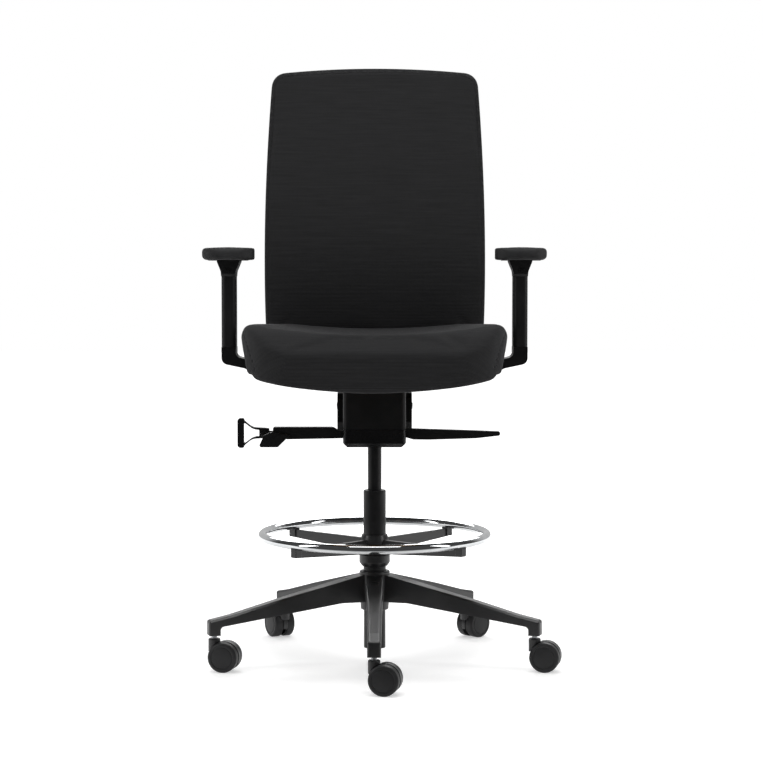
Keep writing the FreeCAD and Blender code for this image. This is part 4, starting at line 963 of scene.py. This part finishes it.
@dataclass
class PaddedForm:
    """A stuffed form with a face panel, a side band and a base, shaped after a CAD solid.

    Pad places have their third axis out of the face panel. Rays fan out of a root line
    inside the solid's edge, so the rings of the band wrap round its edges evenly.
    """

    name: str
    node: str
    facing: Facing
    cell: float                  # distance between loop places
    fan_rings: int               # rings of the band
    soften: int                  # smoothing passes that round the solid's edges
    root_inset: float = 0.045    # how far inside the loop the rays start
    fan_deg: float = 66.0        # steepest ray above and below the plan
    ease: float = 0.0            # how far inside the solid the cover starts; outside if negative

    def __post_init__(self) -> None:
        """Reads the solid and lays out the rings."""
        self.turn = np.array(self.facing.value, float)
        mesh = merged_copy(self.node)
        solid = np.array([self.turn @ np.array(v.co) for v in mesh.vertices])
        self.tree = surface_tree(solid, mesh)
        self.low, self.high = solid.min(0), solid.max(0)
        self.loop, self.normals, self.counts = even_loop(solid[:, :2], self.cell)
        self.roots = self.loop - self.normals * self.root_inset
        self.middles = np.array([sum(self.span(p)) / 2 for p in self.roots])
        lengths = np.linalg.norm(np.diff(self.loop, axis=0, append=self.loop[:1]), axis=1)
        self.girth = np.concatenate([[0.0], np.cumsum(lengths)[:-1]])
        self.finder = finder_of([(*p, 0.0) for p in self.roots])

    def span(self, spot: Sequence[float]) -> tuple[float, float]:
        """Measures the solid's thickness over the plan.

        Args:
            spot: Place in the plan.

        Returns:
            Lowest and highest height of the solid there, or of the whole solid beside it.
        """
        clear = 1.0
        down = self.tree.ray_cast((spot[0], spot[1], self.high[2] + clear), (0, 0, -1))[0]
        up = self.tree.ray_cast((spot[0], spot[1], self.low[2] - clear), (0, 0, 1))[0]
        if down is None:
            return self.low[2], self.high[2]
        return up.z, down.z

    def fan_point(self, tree: BVHTree, k: int, degrees: float) -> Vector:
        """Where the ray of loop place k at an angle above the plan leaves a surface.

        Args:
            tree: The surface.
            k: Number of the loop place.
            degrees: Angle above the plan.

        Returns:
            The hit in pad places.
        """
        angle = math.radians(degrees)
        out = self.normals[k]
        root = Vector((self.roots[k][0], self.roots[k][1], self.middles[k]))
        way = Vector((out[0] * math.cos(angle), out[1] * math.cos(angle), math.sin(angle)))
        hit = tree.ray_cast(root, way)[0]
        return hit if hit is not None else root + way * self.root_inset

    def panel(self, border: np.ndarray, top: bool) -> np.ndarray:
        """Fills a loop with a grid that lies on the solid.

        Args:
            border: The loop's points in pad places.
            top: Whether the grid lies on the face or on the base.

        Returns:
            Grid of points, (columns + 1) x (rows + 1) x 3.
        """
        m, n = self.counts
        south, east = border[:m + 1], border[m:m + n + 1]
        north = border[m + n:2 * m + n + 1][::-1]
        west = np.concatenate([border[2 * m + n:], border[:1]])[::-1]
        u = np.linspace(0, 1, m + 1)[:, None, None]
        v = np.linspace(0, 1, n + 1)[None, :, None]
        grid = (1 - v) * south[:, None] + v * north[:, None] + (1 - u) * west[None] + u * east[None]
        grid -= ((1 - u) * (1 - v) * south[0] + u * (1 - v) * south[-1]
                 + (1 - u) * v * north[0] + u * v * north[-1])
        for i in range(1, m):
            for j in range(1, n):
                low, high = self.span(grid[i, j])
                grid[i, j, 2] = high if top else low
        return grid

    def cover(self) -> Mesh:
        """The cover's closed mesh in pad places, before it is stuffed.

        Returns:
            The mesh.
        """
        m, n = self.counts
        angles = np.linspace(self.fan_deg, -self.fan_deg, self.fan_rings)
        rings = [np.array([self.fan_point(self.tree, k, a) for k in range(len(self.loop))])
                 for a in angles]
        border = ([(i, 0) for i in range(m)] + [(m, j) for j in range(n)]
                  + [(i, n) for i in range(m, 0, -1)] + [(0, j) for j in range(n, 0, -1)])
        points: list[np.ndarray] = []
        numbers = []
        for ring, top in ((rings[0], True), (rings[-1], False)):
            grid = self.panel(ring, top)
            numbers.append({})
            for i in range(m + 1):
                for j in range(n + 1):
                    numbers[-1][i, j] = len(points)
                    points.append(grid[i, j])
        faces = []
        for book, flip in zip(numbers, (False, True)):
            for i in range(m):
                for j in range(n):
                    face = [book[i, j], book[i + 1, j], book[i + 1, j + 1], book[i, j + 1]]
                    faces.append(face[::-1] if flip else face)
        loops = [[numbers[0][spot] for spot in border]]
        for ring in rings[1:-1]:
            loops.append(list(range(len(points), len(points) + len(ring))))
            points.extend(ring)
        loops.append([numbers[1][spot] for spot in border])
        for upper, lower in zip(loops, loops[1:]):
            for k in range(len(upper)):
                nxt = (k + 1) % len(upper)
                faces.append([upper[k], lower[k], lower[nxt], upper[nxt]])
        return mesh_from(self.name, np.array(points), faces)

    def softening(self) -> tuple[str, dict[str, Any]]:
        """The modifier that rounds the edges that the cover takes from the solid."""
        return "SMOOTH", {"factor": 0.5, "iterations": self.soften}

    def angle_of(self, spot: np.ndarray) -> tuple[int, float]:
        """Finds a point's place on the fan.

        Args:
            spot: The point in pad places.

        Returns:
            Number of the nearest loop place, and the point's angle above the plan there.
        """
        _, k, _ = self.finder.find((spot[0], spot[1], 0.0))
        out = float(np.dot(spot[:2] - self.roots[k], self.normals[k]))
        if out <= 0:
            return k, math.copysign(90.0, spot[2] - self.middles[k])
        return k, math.degrees(math.atan2(spot[2] - self.middles[k], out))


@dataclass
class Upholstery:
    """A cushion: foam in a sewn cover, stuffed by a short cloth simulation."""

    form: PaddedForm
    body: str
    slot: str
    seam_deg: float              # angle of the seam above the plan, along the sides
    weave_sign: float            # whether the ribs' second axis climbs with height or falls
    cap: float                   # the furthest that the stuffing moves the cover
    pressure: float = 4.0
    frames: int = 20
    valley: float = 0.0014       # depth of the cover's dip at a seam
    valley_width: float = 0.0034
    cord: float = 0.0009         # radius of the seam's ridge
    cord_sides: int = 8
    waterfall: bool = False      # whether the face panel runs down over the front edge
    dive: tuple[float, float] = (0.25, 0.78)   # forward share of the normal where the seam dives
    below: float = 12.0          # degrees below the band that a diving seam aims for
    sunk: float = 0.85           # share of the dip that the seam's ridge lies in
    cloth: tuple[float, float, float] = (0.3, 40.0, 6.0)   # mass, stretch and bend stiffness

    def seam_angle(self, k: int) -> float | None:
        """Says how high the seam runs.

        Args:
            k: Number of the loop place.

        Returns:
            Angle of the seam above the plan, or None where there is no seam.
        """
        if not self.waterfall:
            return self.seam_deg
        forward = -self.form.normals[k][1]
        if forward > self.dive[1]:
            return None
        dive = smoothstep(forward, *self.dive)
        return self.seam_deg + (-self.form.fan_deg - self.below - self.seam_deg) * dive

    def stuffed(self) -> Mesh:
        """The cover after stuffing, in pad places.

        Returns:
            The mesh, twice as fine as the form's.
        """
        mesh = modified(self.form.cover(), self.form.softening())
        start = coordinates(mesh)
        base_from = -0.98 * self.form.fan_deg
        held = np.array([self.form.angle_of(p)[1] <= base_from for p in start])
        start = start - vertex_normals(mesh) * self.form.ease * ~held[:, None]
        set_coordinates(mesh, start)
        out = vertex_normals(mesh)
        grown = self.inflate(mesh, held)
        swell = ((grown - start) * out).sum(1)
        LOG.info("%s: the stuffing swells the cover up to %.1f mm", self.form.name, 1000 * swell.max())
        swell = self.cap * np.tanh(np.clip(swell, 0.0, None) / self.cap)
        set_coordinates(mesh, start + out * swell[:, None])
        return modified(mesh, FINER)

    def inflate(self, mesh: Mesh, held: np.ndarray) -> np.ndarray:
        """Runs the cloth simulation.

        Args:
            mesh: The cover.
            held: Whether each vertex is held where it rests.

        Returns:
            The vertices' places at the end.
        """
        cover = linked("work", mesh.copy())
        group = cover.vertex_groups.new(name="held")
        group.add([int(k) for k in np.flatnonzero(held)], 1.0, "REPLACE")
        cloth = cover.modifiers.new("stuffing", "CLOTH")
        mass, stretch, bend = self.cloth
        for key, value in {
                "quality": 5, "mass": mass, "tension_stiffness": stretch,
                "compression_stiffness": stretch, "bending_stiffness": bend, "use_pressure": True,
                "uniform_pressure_force": self.pressure, "vertex_group_mass": "held"}.items():
            setattr(cloth.settings, key, value)
        cloth.settings.effector_weights.gravity = 0.0
        cloth.point_cache.frame_end = self.frames
        scene = bpy.context.scene
        for number in range(1, self.frames + 1):
            scene.frame_set(number)
        result = coordinates(evaluated_mesh(cover))
        bpy.data.objects.remove(cover)
        scene.frame_set(1)
        return result

    def sew(self, mesh: Mesh) -> Mesh:
        """Dips the cover at its seam, and gives the seam's path.

        Args:
            mesh: The stuffed cover in pad places; its vertices move.

        Returns:
            The seam's path in pad places.
        """
        form = self.form
        angles = [self.seam_angle(k) for k in range(len(form.loop))]
        order = list(range(len(angles)))
        if None in angles:
            gap = max(k for k in order
                      if angles[k] is None and angles[(k + 1) % len(order)] is not None)
            order = [(gap + 1 + k) % len(angles) for k in order]
        sewn = [k for k in order if angles[k] is not None]
        places, out = coordinates(mesh), vertex_normals(mesh)
        tree = surface_tree(places, mesh)
        path = [form.fan_point(tree, k, angles[k]) for k in sewn]
        finder = finder_of(path)
        edge = 4 * self.valley_width   # the dip is nothing from here on
        for k, spot in enumerate(places):
            _, _, away = finder.find(spot)
            if away < edge:
                places[k] -= out[k] * self.valley * math.exp(-(away / self.valley_width) ** 2)
        set_coordinates(mesh, places)
        ridge = []
        for p, k in zip(path, sewn):
            way = (p - Vector((*form.roots[k], form.middles[k]))).normalized()
            ridge.append(p - way * self.valley * self.sunk)
        return path_mesh(ridge, None not in angles)

    def thread(self, mesh: Mesh) -> None:
        """Writes the weave's coordinates: ribs run across the face panel and along the band.

        Args:
            mesh: The cover in pad places.
        """
        form = self.form
        places = coordinates(mesh)
        values = np.zeros((len(places), 3), np.float32)
        for number, spot in enumerate(places):
            k, angle = form.angle_of(spot)
            seam = self.seam_angle(k)
            if seam is None or angle >= seam:
                values[number, :2] = spot[0], spot[1] + self.weave_sign * spot[2]
            else:
                values[number, :2] = form.girth[k], spot[2]
        write_vectors(mesh, "thread", values)

    def build(self, palette: Palette, tube: NodeShape) -> None:
        """Makes the cushion and its seam.

        Args:
            palette: The chair's materials.
            tube: The shape that makes the seam's ridge.
        """
        form = self.form
        home = Matrix(form.turn.T.tolist()).to_4x4()
        mesh = self.stuffed()
        path = self.sew(mesh)
        self.thread(mesh)
        seam = tube.run(path, {
            "Radius": self.cord, "Sides": self.cord_sides, "Material": palette[Coat.SEAM_THREAD]})
        for part in (mesh, seam):
            part.transform(home)
        cushion = place(form.name, mesh, palette[Coat.UPHOLSTERY], self.body, self.slot, [form.node])
        place(form.name + "_seam", seam, palette[Coat.SEAM_THREAD], self.body, self.slot)


@dataclass
class ArmPad:
    """An armrest pad of moulded foam: crowned top, tight lower edge, a mould line round it."""

    side: str
    line_deg: float = -28.0      # angle of the mould line above the plan
    line: float = 0.00035        # radius of its ridge
    line_sides: int = 6

    def build(self, palette: Palette, tube: NodeShape) -> None:
        """Makes the pad and its mould line.

        Args:
            palette: The chair's materials.
            tube: The shape that makes the mould line.
        """
        node = "arm_pad_" + self.side
        form = PaddedForm("pad_" + self.side, node, Facing.UP, cell=0.005, root_inset=0.016,
                          fan_deg=62.0, fan_rings=13, soften=2)
        mesh = modified(form.cover(), form.softening(), FINER)
        tree = surface_tree(coordinates(mesh), mesh)
        path = path_mesh([form.fan_point(tree, k, self.line_deg) for k in range(len(form.loop))], True)
        line = tube.run(path, {
            "Radius": self.line, "Sides": self.line_sides, "Material": palette[Coat.PAD_SKIN]})
        body = "armrest_" + self.side
        pad = place(form.name, mesh, palette[Coat.PAD_SKIN], body, "pad_skin", [node])
        place(form.name + "_mould_line", line, palette[Coat.PAD_SKIN], body, "pad_skin")


# ---- seat underside ---------------------------------------------------------
@dataclass
class CoverHem:
    """The cover's hem, drawn over the plywood pan's edge and stapled to its underside."""

    cell: float = 0.006          # distance between the places of its path
    cloth: float = 0.0011        # thickness of the cloth
    reach: float = 0.019         # how far the hem runs under the pan
    notch_half: float = 0.033    # half width of the notch round each armrest bracket
    notch_from: float = 0.1      # notches are this far out from the middle
    staple_inset: float = 0.011
    staple_pitch: float = 0.024
    crown: float = 0.0105        # length of a staple's crown
    wire: float = 0.0007         # thickness of its wire
    wire_half: float = 0.6       # half the wire's width, as a share of its thickness
    dip: float = 0.8             # how far its ends dip, as a share of its wire

    def staple(self) -> Object:
        """Bends one staple: a flat crown whose ends dip into the cloth.

        Returns:
            The staple, its crown along X and its back at zero.
        """
        half, dip = self.crown / 2, self.wire * self.dip
        line = [(-half, -dip), (-half + dip, 0.0), (half - dip, 0.0), (half, -dip)]
        points, faces = [], []
        for x, z in line:
            for y, up in ((-1, 0), (1, 0), (1, 1), (-1, 1)):
                points.append((x, y * self.wire * self.wire_half, z + up * self.wire))
        for k in range(0, len(points) - 4, 4):
            faces += faces_between(range(k, k + 4), range(k + 4, k + 8))
        last = len(points) - 1
        faces += [[0, 1, 2, 3], [last, last - 1, last - 2, last - 3]]
        return linked("staple", mesh_from("staple", np.array(points), faces, False))

    def build(self, palette: Palette, repeated: NodeShape) -> None:
        """Makes the hem and its staples.

        Args:
            palette: The chair's materials.
            repeated: The shape that repeats a part on points.
        """
        low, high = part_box("seat_pan")
        pan = np.array([v.co[:2] for v in frame["nodes"]["seat_pan"].data.vertices])
        loop, normals, _ = even_loop(pan, self.cell)
        clear = [not (abs(x) > self.notch_from and abs(y) < self.notch_half) for x, y in loop]
        first = next(k for k in range(len(clear)) if clear[k] and not clear[k - 1])
        order = [(first + k) % len(clear) for k in range(len(clear))]
        runs: list[list[int]] = [[]]
        for k in order:
            if clear[k]:
                runs[-1].append(k)
            elif runs[-1]:
                runs.append([])
        under, over = low.z - self.cloth, high.z - self.cloth
        bend = (self.cloth * 0.4, under + self.cloth * 0.3)
        section = [(self.cloth, over), (self.cloth, low.z), bend, (-self.cloth, under),
                   (-self.reach, under), (-self.reach, low.z), (0.0, low.z), (0.0, over)]
        points, faces = np.zeros((0, 3)), []
        staples = []
        for run in [r for r in runs if len(r) > 2]:
            more, swept = sweep(loop[run], normals[run], section)
            faces += [[c + len(points) for c in face] for face in swept]
            points = np.concatenate([points, more])
            step = max(1, round(self.staple_pitch / self.cell))
            for k in run[step // 2::step]:
                spot = loop[k] - normals[k] * self.staple_inset
                along = Vector((-normals[k][1], normals[k][0], 0.0))
                staples.append((Vector((*spot, under)), Vector((0, 0, -1)), along))
        hem = mesh_from("cover_hem", points, faces)
        write_vectors(hem, "thread", [(p[0] + p[1], p[2], 0.0) for p in coordinates(hem)])
        place("cover_hem", hem, palette[Coat.UPHOLSTERY], "seat", "upholstery")
        part = self.staple()
        mesh = repeated.run(points_mesh(staples), {
            "Part": part, "Material": palette[Coat.BRIGHT_STEEL]})
        bpy.data.objects.remove(part)
        place("hem_staples", mesh, palette[Coat.BRIGHT_STEEL], "seat", "bright_steel")


# ---- castors ----------------------------------------------------------------
@dataclass
class CastorWheel:
    """One twin-castor wheel: moulded, domed outer face with a rim groove, rounded tread."""

    castor: str
    half: str
    steps: int = 72
    web_gap: float = 0.005       # from the castor's middle to the wheel's inner face
    web: tuple[float, float] = (0.0035, 0.005)      # thickness of the web at the hub and the tyre
    bevel: tuple[float, float] = (0.0024, 0.0034)   # the tread's outer bevel, across and inwards
    width: float = 0.0185
    dome: float = 0.0009         # rise of the outer face
    dome_start: float = 0.25     # share of that rise that it starts at
    dome_inset: float = 0.003    # from the groove to where it starts
    dome_rings: int = 8
    rim: float = 0.004           # thickness of the tyre
    groove_r: float = 0.0225
    groove: float = 0.0008       # depth of the groove in the outer face
    hub_r: float = 0.009
    bore_r: float = 0.00405
    bore_depth: float = 0.015

    def profile(self, radius: float) -> list[tuple[float, float]]:
        """Draws the wheel's half section.

        Args:
            radius: The wheel's radius.

        Returns:
            Radius and height out from the castor's middle of each point, from the bore round.
        """
        near, far = self.web_gap, self.web_gap + self.width
        shell = radius - self.rim
        groove_in = self.groove_r - 2 * self.groove
        face = groove_in - self.dome_inset
        # radius, height and corner radius of each point
        body = [
            (0.0, near + self.bore_depth, 0), (self.bore_r, near + self.bore_depth, 0.0004),
            (self.bore_r, near, 0.0003), (self.hub_r, near, 0.0006),
            (self.hub_r, far - self.web[0], 0.0015), (shell, far - self.web[1], 0.0015),
            (shell, near, 0.0005), (radius, near, 0.0016),
            (radius, far - self.bevel[0], 0.0035), (radius - self.bevel[1], far, 0.002),
            (self.groove_r + 0.0006, far, 0.0006), (self.groove_r, far - self.groove, 0.0004),
            (groove_in, far - self.groove, 0.0004), (groove_in - 0.0005, far, 0.0006)]
        points = rounded(body + [(face, far + self.dome * self.dome_start, 0)])
        for k in range(1, self.dome_rings + 1):
            r = face * (1 - k / self.dome_rings)
            points.append((r, far + self.dome * (1 - (1 - self.dome_start) * (r / face) ** 2)))
        return points

    def build(self, palette: Palette) -> None:
        """Makes the wheel where its node is.

        Args:
            palette: The chair's materials.
        """
        node = f"castor_{self.castor}_wheel_{self.half}"
        joint = next(j for j in frame["joints"] if j["child"] == node)
        low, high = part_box(node)
        middle = Vector(joint["pos_m"])
        axis = Vector(joint["axis"])
        if ((low + high) / 2 - middle).dot(axis) < 0:
            axis.negate()
        points, faces = lathe(self.profile((high.z - low.z) / 2), self.steps)
        mesh = mesh_from(node + "_tyre", points, faces)
        turn = Vector((0, 0, 1)).rotation_difference(axis).to_matrix().to_4x4()
        mesh.transform(Matrix.Translation(middle) @ turn)
        place(f"{node}_moulded", mesh, palette[Coat.TREAD_NYLON], node, "tread_nylon", [node])


# ---- ring and screws --------------------------------------------------------
@dataclass
class FootRing:
    """The bent and welded tube of the foot ring, chrome plated."""

    steps: int = 200
    sides: int = 32

    def build(self, palette: Palette, tube: NodeShape) -> None:
        """Makes the ring on its node's centre line.

        Args:
            palette: The chair's materials.
            tube: The shape that makes the ring.
        """
        low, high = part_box("foot_ring_tube")
        thick = (high.z - low.z) / 2
        radius = (high.x - low.x) / 2 - thick
        turns = [2 * math.pi * k / self.steps for k in range(self.steps)]
        level = (low.z + high.z) / 2
        path = [Vector((radius * math.cos(t), radius * math.sin(t), level)) for t in turns]
        mesh = tube.run(path_mesh(path, True), {
            "Radius": thick, "Sides": self.sides, "Material": palette[Coat.RING_CHROME]})
        place("foot_ring_polished", mesh, palette[Coat.RING_CHROME], "foot_ring", "ring_chrome",
              ["foot_ring_tube"])


def loose_parts(node: str) -> list[np.ndarray]:
    """Takes a CAD node apart.

    Args:
        node: Name of the node.

    Returns:
        The vertex places of each separate solid in it.
    """
    work = bmesh.new()
    work.from_mesh(merged_copy(node))
    unseen = set(work.verts)
    parts = []
    while unseen:
        queue = [unseen.pop()]
        part = []
        while queue:
            here = queue.pop()
            part.append(here.co.copy())
            for edge in here.link_edges:
                other = edge.other_vert(here)
                if other in unseen:
                    unseen.remove(other)
                    queue.append(other)
        parts.append(np.array(part))
    work.free()
    return sorted(parts, key=lambda p: tuple(np.round(p.mean(0), 5)))


@dataclass
class SocketScrews:
    """Button-head screws with a hex socket, one for each solid of a node."""

    node: str
    body: str
    coat: Coat
    facing: tuple[float, float, float]   # way the heads face
    head_r: float
    head_height: float
    shank_r: float
    steps: int = 36

    def ring(self, radius: float, height: float, hexagon: bool) -> list[tuple[float, float, float]]:
        """One ring of a screw.

        Args:
            radius: The ring's radius, to the flats of a six-sided one.
            height: Its height.
            hexagon: Whether it is six-sided.

        Returns:
            Its points.
        """
        points = []
        for k in range(self.steps):
            turn = 2 * math.pi * k / self.steps
            off = (turn + math.pi / 6) % (math.pi / 3) - math.pi / 6
            reach = radius / math.cos(off) if hexagon else radius
            points.append((reach * math.cos(turn), reach * math.sin(turn), height))
        return points

    def screw(self, length: float) -> Object:
        """One screw along Z, its head's seat at zero and its shank below.

        Args:
            length: Length of the shank.

        Returns:
            The screw.
        """
        r, h = self.head_r, self.head_height
        flat, deep = r * 0.5, h * 0.55
        # radius, height and whether six-sided, of each ring from the shank's tip to the socket
        rows = [(self.shank_r * 0.8, -length, False), (self.shank_r, -length + 0.001, False),
                (self.shank_r, 0.0, False), (r * 0.96, 0.0, False), (r, h * 0.12, False),
                (r * 0.97, h * 0.45, False), (r * 0.86, h * 0.78, False), (r * 0.68, h, False),
                (flat * 1.1, h, True), (flat, h * 0.93, True), (flat, h - deep, True),
                (flat * 0.4, h - deep * 1.15, False)]
        points = [p for row in rows for p in self.ring(*row)]
        faces = []
        rings = [range(k * self.steps, (k + 1) * self.steps) for k in range(len(rows))]
        for base, over in zip(rings, rings[1:]):
            faces += faces_between(base, over)
        faces += [list(reversed(rings[0])), list(rings[-1])]
        return linked("screw", mesh_from("screw", np.array(points), faces))

    def build(self, palette: Palette, repeated: NodeShape) -> None:
        """Makes the screws of the node.

        Args:
            palette: The chair's materials.
            repeated: The shape that repeats a part on points.
        """
        spots = []
        length = 0.0
        for part in loose_parts(self.node):
            middle = (part.min(0) + part.max(0)) / 2
            way = np.array(self.facing, float)
            reach = part @ way
            seat = middle + way * (reach.max() - self.head_height - middle @ way)
            length = reach.max() - reach.min() - self.head_height
            spots.append((Vector(seat), Vector(way), Vector((way[1], way[2], way[0]))))
        part = self.screw(length)
        mesh = repeated.run(points_mesh(spots), {"Part": part, "Material": palette[self.coat]})
        bpy.data.objects.remove(part)
        place(self.node + "_socket_heads", mesh, palette[self.coat], self.body, "bright_steel",
              [self.node])


# ---- studio -----------------------------------------------------------------
@dataclass
class Studio:
    """A white floor, a soft sky of lamps and the camera at the front."""

    camera_place: tuple[float, float, float] = (0.014, -4.38, 0.832)
    camera_dip_deg: float = 3.37
    lens_mm: float = 101.7
    sensor_mm: float = 36.0
    sky: float = 0.42
    floor_half: float = 14.0
    floor_colour: str = "#e6e6e6"
    floor_lift: float = 0.45     # glow near the chair, so the floor reads as white
    fade: tuple[float, float] = (0.6, 2.2)   # distances over which the floor turns pure white
    mirrored: float = 0.5        # how much of the white backdrop a polished piece shows
    mirrored_above: float = 0.25   # the same above the backdrop's bright part
    bright_height: tuple[float, float] = (0.3, 0.6)    # ray heights where that part ends
    backdrop_edge: tuple[float, float] = (0.35, 0.75)  # backward share of a ray that meets it
    room: float = 0.06           # how bright the room in front of the backdrop looks in a mirror
    front: tuple[float, float] = (-0.75, -0.2)   # the dim room takes over from the floor here

    def world(self) -> None:
        """White backdrop to the eye and in reflections, with the dim room in front of it."""
        world = bpy.data.worlds.new("studio_sky")
        world.use_nodes = True
        bpy.context.scene.world = world
        world.node_tree.nodes.clear()
        draw = NodeSketch(world.node_tree)
        way = draw.place("Generated")
        behind = draw.ramp(draw.axis(way, "Y"), self.backdrop_edge, (0.0, 1.0))
        low = draw.ramp(draw.axis(way, "Z"), self.bright_height, (self.mirrored, self.mirrored_above))
        lit = draw.calculate("MULTIPLY", behind, low)
        in_mirrors = draw.calculate("MULTIPLY_ADD", lit, 1.0 - self.room, self.room)
        rays = draw.add("ShaderNodeLightPath").outputs
        level: Any = self.sky
        for kind, shown in (("Is Glossy Ray", in_mirrors), ("Is Transmission Ray", 1.0),
                            ("Is Camera Ray", 1.0)):
            level = draw.mix(rays[kind], level, shown)
        sky = draw.add("ShaderNodeBackground", {"Color": WHITE, "Strength": level})
        draw.add("ShaderNodeOutputWorld", {"Surface": sky.outputs[0]})

    def floor(self) -> None:
        """A wide white floor that keeps the chair's shadow and fades into the backdrop.

        It is clear from below, so the chair's underside can be looked at.
        """
        h = self.floor_half
        corners = np.array([(-h, -h, 0), (h, -h, 0), (h, h, 0), (-h, h, 0)])
        piece = linked("floor", mesh_from("floor", corners, [[0, 1, 2, 3]]))
        material = bpy.data.materials.new("studio_floor")
        material.use_nodes = True
        material.node_tree.nodes.clear()
        draw = NodeSketch(material.node_tree)
        spot = draw.place()
        away = draw.add("ShaderNodeVectorMath", {0: spot}, operation="LENGTH").outputs["Value"]
        lift = draw.ramp(away, self.fade, (self.floor_lift, 1.0))
        rays = draw.add("ShaderNodeLightPath").outputs
        glossy = draw.calculate("MULTIPLY", rays["Is Glossy Ray"], self.mirrored)
        seen = draw.calculate("MAXIMUM", rays["Is Camera Ray"], glossy)
        glow = draw.add("ShaderNodeEmission", {
            "Color": WHITE, "Strength": draw.calculate("MULTIPLY", seen, lift)})
        paint = draw.add("ShaderNodeBsdfDiffuse", {"Color": linear(self.floor_colour)})
        both = draw.add("ShaderNodeAddShader", {0: glow.outputs[0], 1: paint.outputs[0]})
        front = draw.ramp(draw.axis(spot, "Y"), self.front, (1.0, 0.0))
        dim = draw.add("ShaderNodeEmission", {"Color": WHITE, "Strength": self.room})
        laid = draw.add("ShaderNodeMixShader", {
            0: draw.calculate("MULTIPLY", rays["Is Glossy Ray"], front),
            1: both.outputs[0], 2: dim.outputs[0]})
        from_below = draw.add("ShaderNodeNewGeometry").outputs["Backfacing"]
        clear = draw.add("ShaderNodeBsdfTransparent")
        surface = draw.add("ShaderNodeMixShader", {
            0: from_below, 1: laid.outputs[0], 2: clear.outputs[0]})
        draw.add("ShaderNodeOutputMaterial", {"Surface": surface.outputs[0]})
        piece.data.materials.append(material)

    def lamp(self, name: str, spot: tuple[float, float, float], size: tuple[float, float],
             level: float, aim: tuple[float, float, float] = (0.0, 0.0, 0.7)) -> None:
        """A soft box.

        Args:
            name: Its name.
            spot: Where it hangs.
            size: Its width and height.
            level: How brightly it alone shows a white face turned to it at its aim.
            aim: The place it points at.
        """
        way = Vector(aim) - Vector(spot)
        data = bpy.data.lights.new(name, "AREA")
        data.shape = "RECTANGLE"
        data.size, data.size_y = size
        data.energy = level * (math.pi * way.length) ** 2
        lamp = linked(name, data)
        lamp.location = spot
        lamp.rotation_mode = "QUATERNION"
        lamp.rotation_quaternion = way.to_track_quat("-Z", "Y")

    def camera(self) -> None:
        """The camera, level with the armrests and dipped a little."""
        data = bpy.data.cameras.new("camera")
        data.lens = self.lens_mm
        data.sensor_width = self.sensor_mm
        data.clip_end = 100.0
        camera = linked("camera", data)
        camera.location = self.camera_place
        camera.rotation_euler = (math.radians(90 - self.camera_dip_deg), 0, 0)
        bpy.context.scene.camera = camera

    def build(self) -> None:
        """Sets up the whole studio."""
        bpy.context.scene.view_settings.view_transform = "Standard"
        self.camera()
        self.world()
        self.floor()
        self.lamp("top_box", spot=(0.0, -0.5, 3.3), size=(1.8, 1.2), level=0.55)
        self.lamp("left_strip", spot=(-2.6, -0.9, 1.5), size=(0.5, 2.2), level=0.2)
        self.lamp("right_strip", spot=(2.6, -0.9, 1.5), size=(0.5, 2.2), level=0.2)
        self.lamp("rear_box", spot=(0.0, 2.8, 2.4), size=(3.4, 1.2), level=0.75)


# ---- the chair --------------------------------------------------------------
CASTORS = ("front", "front_left", "rear_left", "rear_right", "front_right")
SIDES = ("left", "right")
NOT_SLOTS = (Coat.SEAM_THREAD, Coat.BLACK_STEEL)
SLOT_COATS = {coat.name.lower(): coat for coat in Coat if coat not in NOT_SLOTS}


def dress_nodes(palette: Palette) -> None:
    """Gives every CAD node the finish of its slot.

    Args:
        palette: The chair's materials.
    """
    for name, node in frame["nodes"].items():
        for slot in node.material_slots:
            label = slot.material.name.split(".")[0]
            coat = SLOT_COATS.get(label)
            if coat is None:
                LOG.warning("%s has the unknown slot %s", name, label)
                continue
            slot.material = palette[coat]


def main() -> None:
    """Builds the studio and dresses the chair, from the base up."""
    logging.basicConfig(level=logging.INFO, format="%(message)s")
    Studio().build()
    palette = Palette()
    dress_nodes(palette)
    tube, repeated = tube_shape(), repeated_shape()
    for castor in CASTORS:
        for half in "ab":
            CastorWheel(castor, half).build(palette)
    FootRing().build(palette, tube)
    SocketScrews("seat_bolts", "seat", Coat.BRIGHT_STEEL, facing=(0, 0, -1), head_r=0.0065,
                 head_height=0.005, shank_r=0.004).build(palette, repeated)
    SocketScrews("back_screws", "back", Coat.BLACK_STEEL, facing=(0, 1, 0), head_r=0.0055,
                 head_height=0.0035, shank_r=0.003).build(palette, repeated)
    CoverHem().build(palette, repeated)
    Upholstery(
        PaddedForm("seat_upholstered", "seat_cushion", Facing.UP, cell=0.008, fan_rings=23,
                   ease=-0.0012, soften=1),
        "seat", "upholstery", seam_deg=36.0, weave_sign=1.0, cap=0.0038,
        waterfall=True).build(palette, tube)
    Upholstery(
        PaddedForm("back_upholstered", "back_cushion", Facing.FORWARD, cell=0.008, root_inset=0.024,
                   fan_deg=58.0, fan_rings=13, ease=-0.001, soften=1),
        "back", "upholstery", seam_deg=48.0, weave_sign=-1.0, cap=0.0028).build(palette, tube)
    for side in SIDES:
        ArmPad(side).build(palette, tube)


if __name__ == "__main__":
    main()
